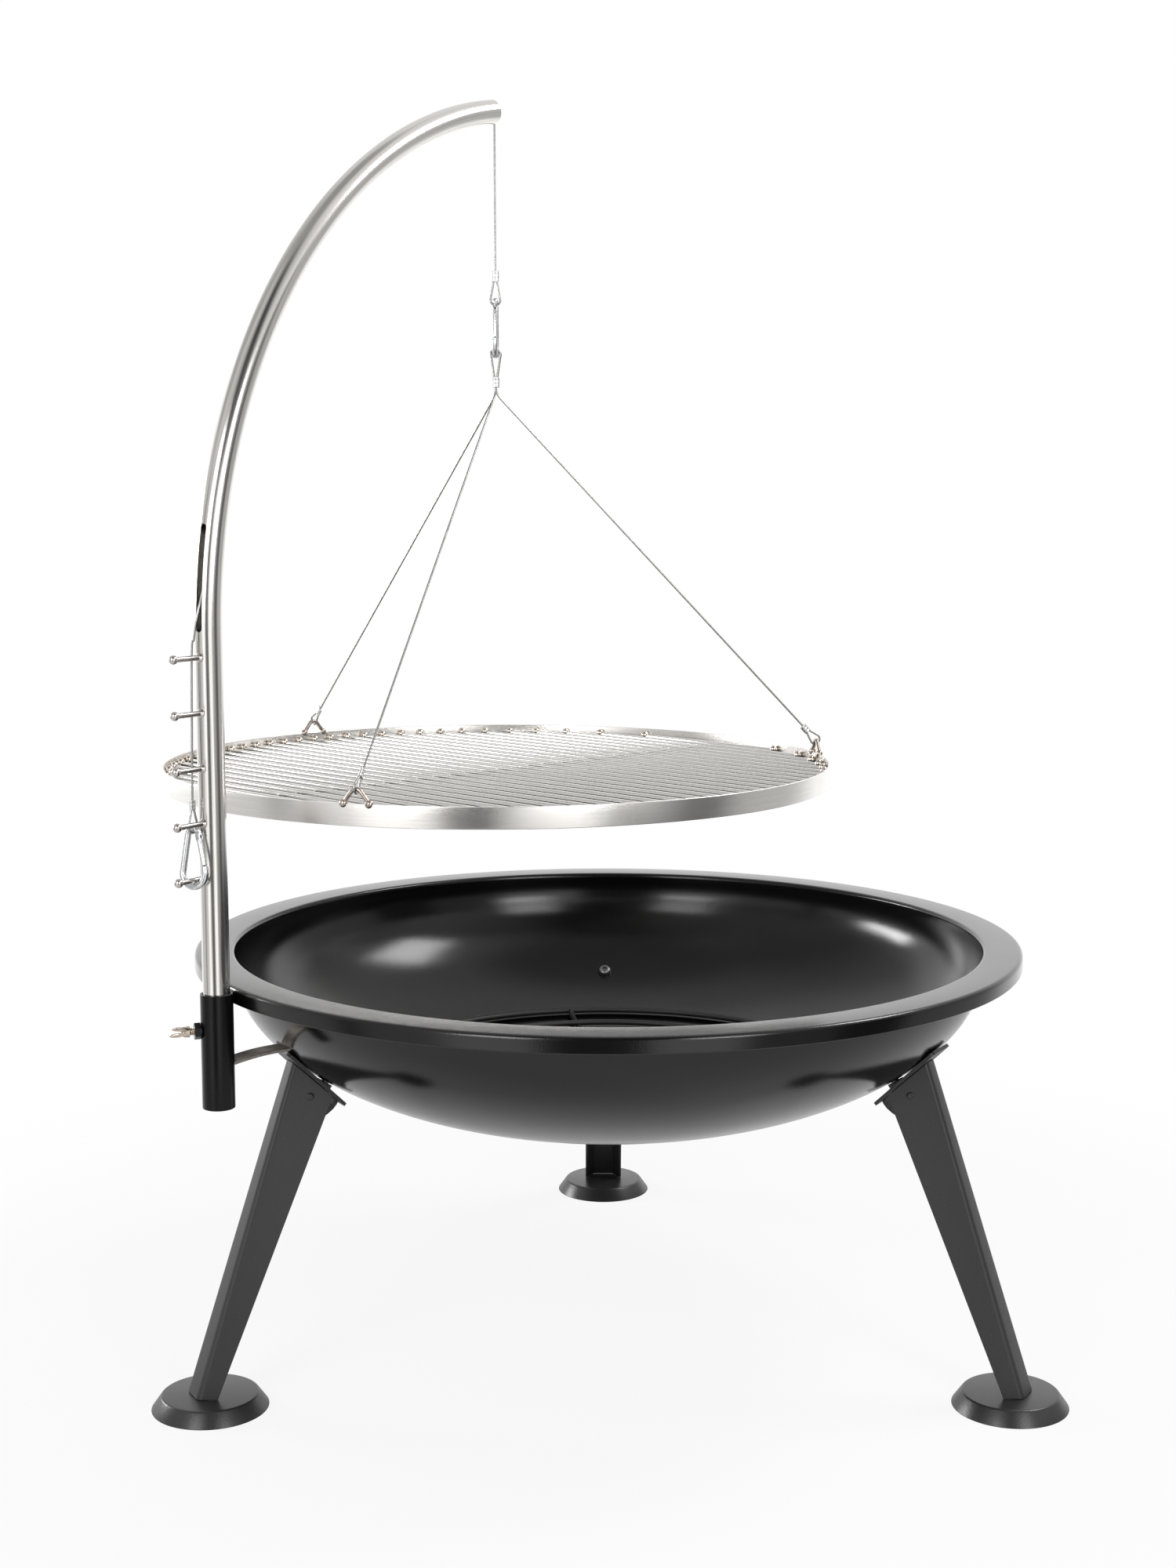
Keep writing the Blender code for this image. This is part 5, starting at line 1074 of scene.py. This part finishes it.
def buildRods():
    g = grateLook
    along, side = direction(g["rodAngle"]), across(g["rodAngle"])
    limit = g["radius"] - g["band"] - 0.0006
    off = np.arange(-g["each"], g["each"] + 1) * g["pitch"]
    reach = np.sqrt(limit ** 2 - (np.abs(off) + g["rod"]) ** 2)
    shells, beads = [], []
    for place, half in zip(off, reach):
        middle = hangAxis + up * g["rodHeight"] + side * place
        path = middle + along * np.linspace(-half, half, 3)[:, None]
        shells.append(tubeShell(path, g["rod"], 20, up, roundEnds=0.0006))
        for end in (-1, 1):
            # a weld bead: a flattened ball against the band
            centre = middle + along * end * (half - g["bead"] * 0.45) + up * 0.0012
            beads.append(ballShell(centre, g["bead"], along, 0.85))
    barHeight = g["rodHeight"] - g["rod"] - g["bar"] + 0.0012
    half = sqrt(limit ** 2 - g["bar"] ** 2)
    path = hangAxis + up * barHeight + side * np.linspace(-half, half, 3)[:, None]
    shells.append(tubeShell(path, g["bar"], 24, up, roundEnds=0.0008))
    makePiece("grateRods", shells, rodSteel, "hanging_grate", ["grate_bars"], 40.0)
    makePiece("rodBeads", beads, weldSteel, "hanging_grate", (), 60.0)


def ballShell(centre, radius, axis, squash):
    lat = np.linspace(0, pi, 13)
    lon = fullTurn(20)
    a = unit(np.cross(axis, up))
    b = np.cross(axis, a)
    grid = (centre + axis * (squash * radius * np.cos(lat))[:, None, None]
            + (a * np.cos(lon)[:, None] + b * np.sin(lon)[:, None])[None]
            * (radius * np.sin(lat))[:, None, None])
    return grid.reshape(-1, 3), [gridFaces(13, 20, False, True)]


def gratePlace(angle, reach, side, height):
    return hangAxis + direction(angle) * reach + across(angle) * side + up * height


def buildBail(name, angle):
    # a round-topped arch whose feet stand on the band's top edge, each in a melted weld bead
    g = bailLook
    centre = g["apex"] - g["top"]
    foot = np.array([g["half"], g["foot"] - centre])
    tangent = np.arctan2(foot[1], foot[0]) + np.arccos(g["top"] / np.linalg.norm(foot))
    turn = tangent + (0.5 * pi - tangent) * np.linspace(0, 1, 10)
    half = [(foot[0], g["foot"] - 0.0012)]
    half += [(g["top"] * cos(t), centre + g["top"] * sin(t)) for t in turn]
    places = half + [(-s, z) for s, z in half[-2::-1]]
    path = evenPath(np.array([gratePlace(angle, g["reach"], s, z) for s, z in places]), 0.0008)
    shells = [tubeShell(path, g["radius"], 20, direction(angle))]
    edge = grateLook["bottom"] + grateLook["height"]
    shells += [ballShell(gratePlace(angle, g["reach"], s, edge), g["bead"], direction(angle), 0.86)
               for s in (g["half"], -g["half"])]
    makePiece("bail_" + name, shells, beadSteel, "hanging_grate", ["bail_" + name], 50.0)


def buildBridle(name, angle):
    g = bridleLook
    x, y = np.array([1.0, 0, 0]), np.array([0, 1.0, 0])
    shift = y * g["order"][name] * g["spacing"]
    wideHeight = clipLook["upperTop"] - clipLook["upperLength"] + clipLook["wide"]
    start = hangAxis + shift + up * (g["top"] - 0.0020)
    topHeight = wideHeight - sqrt((clipLook["wide"] - ropeLook["hold"]) ** 2 - shift[1] ** 2)
    eye = eyePath(start, up, x, topHeight - start[2])
    ferrule = axes(hangAxis + shift + up * g["bottom"], x, y, up)
    makeRope("bridleTopEye_" + name, eye, y, "hanging_grate", "bridle_top_eye_" + name)
    makeFerrule("bridleTopFerrule_" + name, ferrule, g["top"] - g["bottom"], "hanging_grate")
    apex = gratePlace(angle, bailLook["reach"], 0.0, bailLook["apex"])
    bend = hangAxis + shift + up * (g["bottom"] - 0.0060)
    down = unit(apex - bend)
    hooked = apex + down * (bailLook["radius"] + ropeLook["radius"] + 0.0003)
    endStart = hooked - down * g["eye"]
    acrossEye = unit(np.cross(down, across(angle)))
    endFerrule = axes(endStart - down * g["ferrule"], acrossEye, np.cross(down, acrossEye), down)
    endEye = eyePath(endStart - down * 0.0020, down, acrossEye, g["eye"] + 0.0020)
    makeRope("bridleEndEye_" + name, endEye, np.cross(down, acrossEye), "hanging_grate",
             "bridle_end_eye_" + name)
    makeFerrule("bridleEndFerrule_" + name, endFerrule, g["ferrule"], "hanging_grate")
    wire = [ferrule[:3, 3] + up * 0.0030, ferrule[:3, 3], bend + up * 0.0030, bend + down * 0.0030,
            bend + down * 0.0200, endFerrule[:3, 3] + down * 0.0030]
    path = evenPath(np.array(wire), ropeLook["spacing"])
    soft = np.cumsum(np.concatenate([[path[0]], path]), axis=0)
    width = 5
    rounded = path.copy()
    spans = (soft[2 * width + 1:] - soft[:-2 * width - 1])[:len(path) - 2 * width]
    rounded[width:-width] = spans / (2 * width + 1)
    makeRope("bridleWire_" + name, rounded, np.cross(down, up), "hanging_grate", "bridle_wire_" + name)


buildBand()
buildRods()
for bailName, bailAngle in bailLook["angles"].items():
    buildBail(bailName, bailAngle)
    buildBridle(bailName, bailAngle)
print("stage: hanging grate made")

# solids that are kept get a better material
keptLooks = {"mount_plate_": legPaint, "rivet_": legPaint, "bolt_nut_": zincSteel, "clamp_nut": sleevePaint}
for nodeName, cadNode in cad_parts.items():
    for nameStart, material in keptLooks.items():
        if nodeName.startswith(nameStart):
            cadNode.data.materials.clear()
            cadNode.data.materials.append(material)

studio = {
    "floorRadius": 1.15, "floorColour": 0.80, "seenLift": 0.86, "glossLift": 0.35, "ambient": 0.45,
    "overhead": 0.45, "brightest": 1.6,
    # what the gloss mirrors at eye level: degrees to the right of the view towards the camera, and light
    "wall": [(-180, 1.35), (-120, 1.25), (-112, 0.8), (-78, 0.8), (-74, 0.22), (-70, 0.22), (-66, 0.75),
             (-46, 0.75), (-42, 1.6), (-20, 1.6), (-16, 0.12), (8, 0.12), (12, 1.6), (34, 1.6), (38, 0.4),
             (60, 0.4), (64, 0.10), (83, 0.10), (86, 0.6), (120, 0.6), (136, 1.35), (180, 1.35)],
    "above": [(-180, 1.0), (-150, 0.9), (-100, 0.5), (-60, 0.9), (-30, 0.5), (-12, 0.06), (20, 0.06),
              (40, 0.6), (70, 1.0), (120, 1.0), (180, 1.0)],
    "lamps": {
        # place, aimed at, width and height, watts
        "leftBox": ((-1.25, -2.35, 1.55), (0, 0, 0.35), (0.85, 1.40), 26.0),
        "rightBox": ((1.35, -2.35, 1.60), (0, 0, 0.35), (0.85, 1.40), 24.0),
        "leftSide": ((-2.15, 0.85, 0.95), (0, 0, 0.40), (0.95, 0.45), 24.0),
        "rightTop": ((1.52, 0.48, 2.32), (0, 0, 0.40), (0.95, 0.60), 26.0),
    },
}


def lightPath(tree, *names):
    ray = node(tree, "ShaderNodeLightPath")
    seen = ray.outputs[names[0]]
    for name in names[1:]:
        seen = maths(tree, "MAXIMUM", seen, ray.outputs[name])
    return seen


def buildFloor():
    # a round white sheet: seen straight it is almost as white as the background, with a soft shadow
    size = studio["floorRadius"]
    angle = fullTurn(128)
    mesh = bpy.data.meshes.new("studioFloor")
    points = np.stack([bowlAxis[0] + size * np.cos(angle), bowlAxis[1] + size * np.sin(angle),
                       0 * angle], axis=1)
    mesh.from_pydata(points, [], [tuple(range(128))])
    floor = bpy.data.objects.new("studioFloor", mesh)
    bpy.context.scene.collection.objects.link(floor)
    material = bpy.data.materials.new("floorWhite")
    material.use_nodes = True
    tree = material.node_tree
    shader = tree.nodes["Principled BSDF"]
    tone = studio["floorColour"]
    shader.inputs["Base Color"].default_value = (tone, tone, tone, 1)
    shader.inputs["Roughness"].default_value = 0.9
    shader.inputs["Specular IOR Level"].default_value = 0.1
    glow = node(tree, "ShaderNodeEmission")
    glow.inputs["Color"].default_value = (1, 1, 1, 1)
    glow.inputs["Strength"].default_value = 1.0
    place = node(tree, "ShaderNodeTexCoord").outputs["Object"]
    reach = node(tree, "ShaderNodeVectorMath", operation="DISTANCE")
    tree.links.new(place, reach.inputs[0])
    reach.inputs[1].default_value = tuple(bowlAxis)
    fade = spread(tree, reach.outputs["Value"], 0.62 * size, 0.96 * size, studio["seenLift"], 1.0)
    straight = maths(tree, "MULTIPLY", lightPath(tree, "Is Camera Ray", "Is Transmission Ray"), fade)
    mirrored = maths(tree, "MULTIPLY", lightPath(tree, "Is Glossy Ray"), studio["glossLift"])
    mix = node(tree, "ShaderNodeMixShader")
    tree.links.new(maths(tree, "MAXIMUM", straight, mirrored), mix.inputs["Fac"])
    tree.links.new(shader.outputs[0], mix.inputs[1])
    tree.links.new(glow.outputs[0], mix.inputs[2])
    tree.links.new(mix.outputs[0], tree.nodes["Material Output"].inputs["Surface"])
    mesh.materials.append(material)


def lightRamp(tree, factor, stops):
    ramp = node(tree, "ShaderNodeValToRGB")
    tree.links.new(factor, ramp.inputs["Fac"])
    elements = ramp.color_ramp.elements
    while len(elements) > 1:
        elements.remove(elements[-1])
    for number, (angle, light) in enumerate(stops):
        place, tone = (angle + 180.0) / 360.0, light / studio["brightest"]
        element = elements[0] if number == 0 else elements.new(place)
        element.position = place
        element.color = (tone, tone, tone, 1)
    return ramp.outputs["Color"]


def buildWorld():
    # seen straight the world is white; mirrored in gloss it is a studio with white and dark walls
    world = bpy.data.worlds.new("studioWorld")
    bpy.context.scene.world = world
    world.use_nodes = True
    tree = world.node_tree
    ambient = tree.nodes["Background"]
    ambient.inputs["Color"].default_value = (0.99, 0.99, 1.0, 1)
    ambient.inputs["Strength"].default_value = studio["ambient"]
    parts = node(tree, "ShaderNodeSeparateXYZ")
    tree.links.new(node(tree, "ShaderNodeTexCoord").outputs["Generated"], parts.inputs[0])
    turn = maths(tree, "ARCTAN2", parts.outputs["X"], maths(tree, "MULTIPLY", parts.outputs["Y"], -1.0))
    factor = spread(tree, turn, -pi, pi)
    height = parts.outputs["Z"]
    level = lightRamp(tree, factor, studio["wall"])
    higher = mixColour(tree, spread(tree, height, 0.36, 0.46), level,
                       lightRamp(tree, factor, studio["above"]))
    tone = studio["overhead"] / studio["brightest"]
    whole = mixColour(tree, spread(tree, height, 0.90, 0.96), higher, (tone, tone, tone))
    mirrored = node(tree, "ShaderNodeBackground")
    tree.links.new(whole, mirrored.inputs["Color"])
    mirrored.inputs["Strength"].default_value = studio["brightest"]
    white = node(tree, "ShaderNodeBackground")
    white.inputs["Color"].default_value = (1, 1, 1, 1)
    white.inputs["Strength"].default_value = 1.0
    first = node(tree, "ShaderNodeMixShader")
    tree.links.new(lightPath(tree, "Is Glossy Ray"), first.inputs["Fac"])
    tree.links.new(ambient.outputs[0], first.inputs[1])
    tree.links.new(mirrored.outputs[0], first.inputs[2])
    second = node(tree, "ShaderNodeMixShader")
    tree.links.new(lightPath(tree, "Is Camera Ray", "Is Transmission Ray"), second.inputs["Fac"])
    tree.links.new(first.outputs[0], second.inputs[1])
    tree.links.new(white.outputs[0], second.inputs[2])
    tree.links.new(second.outputs[0], tree.nodes["World Output"].inputs["Surface"])


def softLamp(name, place, target, size, power):
    data = bpy.data.lights.new(name, "AREA")
    data.shape = "RECTANGLE"
    data.size, data.size_y = size
    data.energy = power
    lamp = bpy.data.objects.new(name, data)
    bpy.context.scene.collection.objects.link(lamp)
    lamp.location = place
    lamp.rotation_euler = (Vector(target) - Vector(place)).to_track_quat("-Z", "Y").to_euler()
    lamp.visible_camera = False


cameraLook = {"lens": 50.68, "back": 2.1293, "height": 0.8283, "dip": 0.1331, "turn": 0.0093}

def buildCamera():
    g = cameraLook
    data = bpy.data.cameras.new("photoCamera")
    data.sensor_fit = "AUTO"
    data.sensor_width = 36.0
    data.lens = g["lens"]
    data.clip_start = 0.05
    camera = bpy.data.objects.new("photoCamera", data)
    bpy.context.scene.collection.objects.link(camera)
    camera.location = (bowlAxis[0], bowlAxis[1] - g["back"], g["height"])
    camera.rotation_euler = (0.5 * pi - g["dip"], 0.0, g["turn"])
    bpy.context.scene.camera = camera


buildFloor()
buildWorld()
for lampName, lampValues in studio["lamps"].items():
    softLamp(lampName, *lampValues)
buildCamera()
bpy.context.scene.view_settings.view_transform = "Standard"
print("stage: studio made")
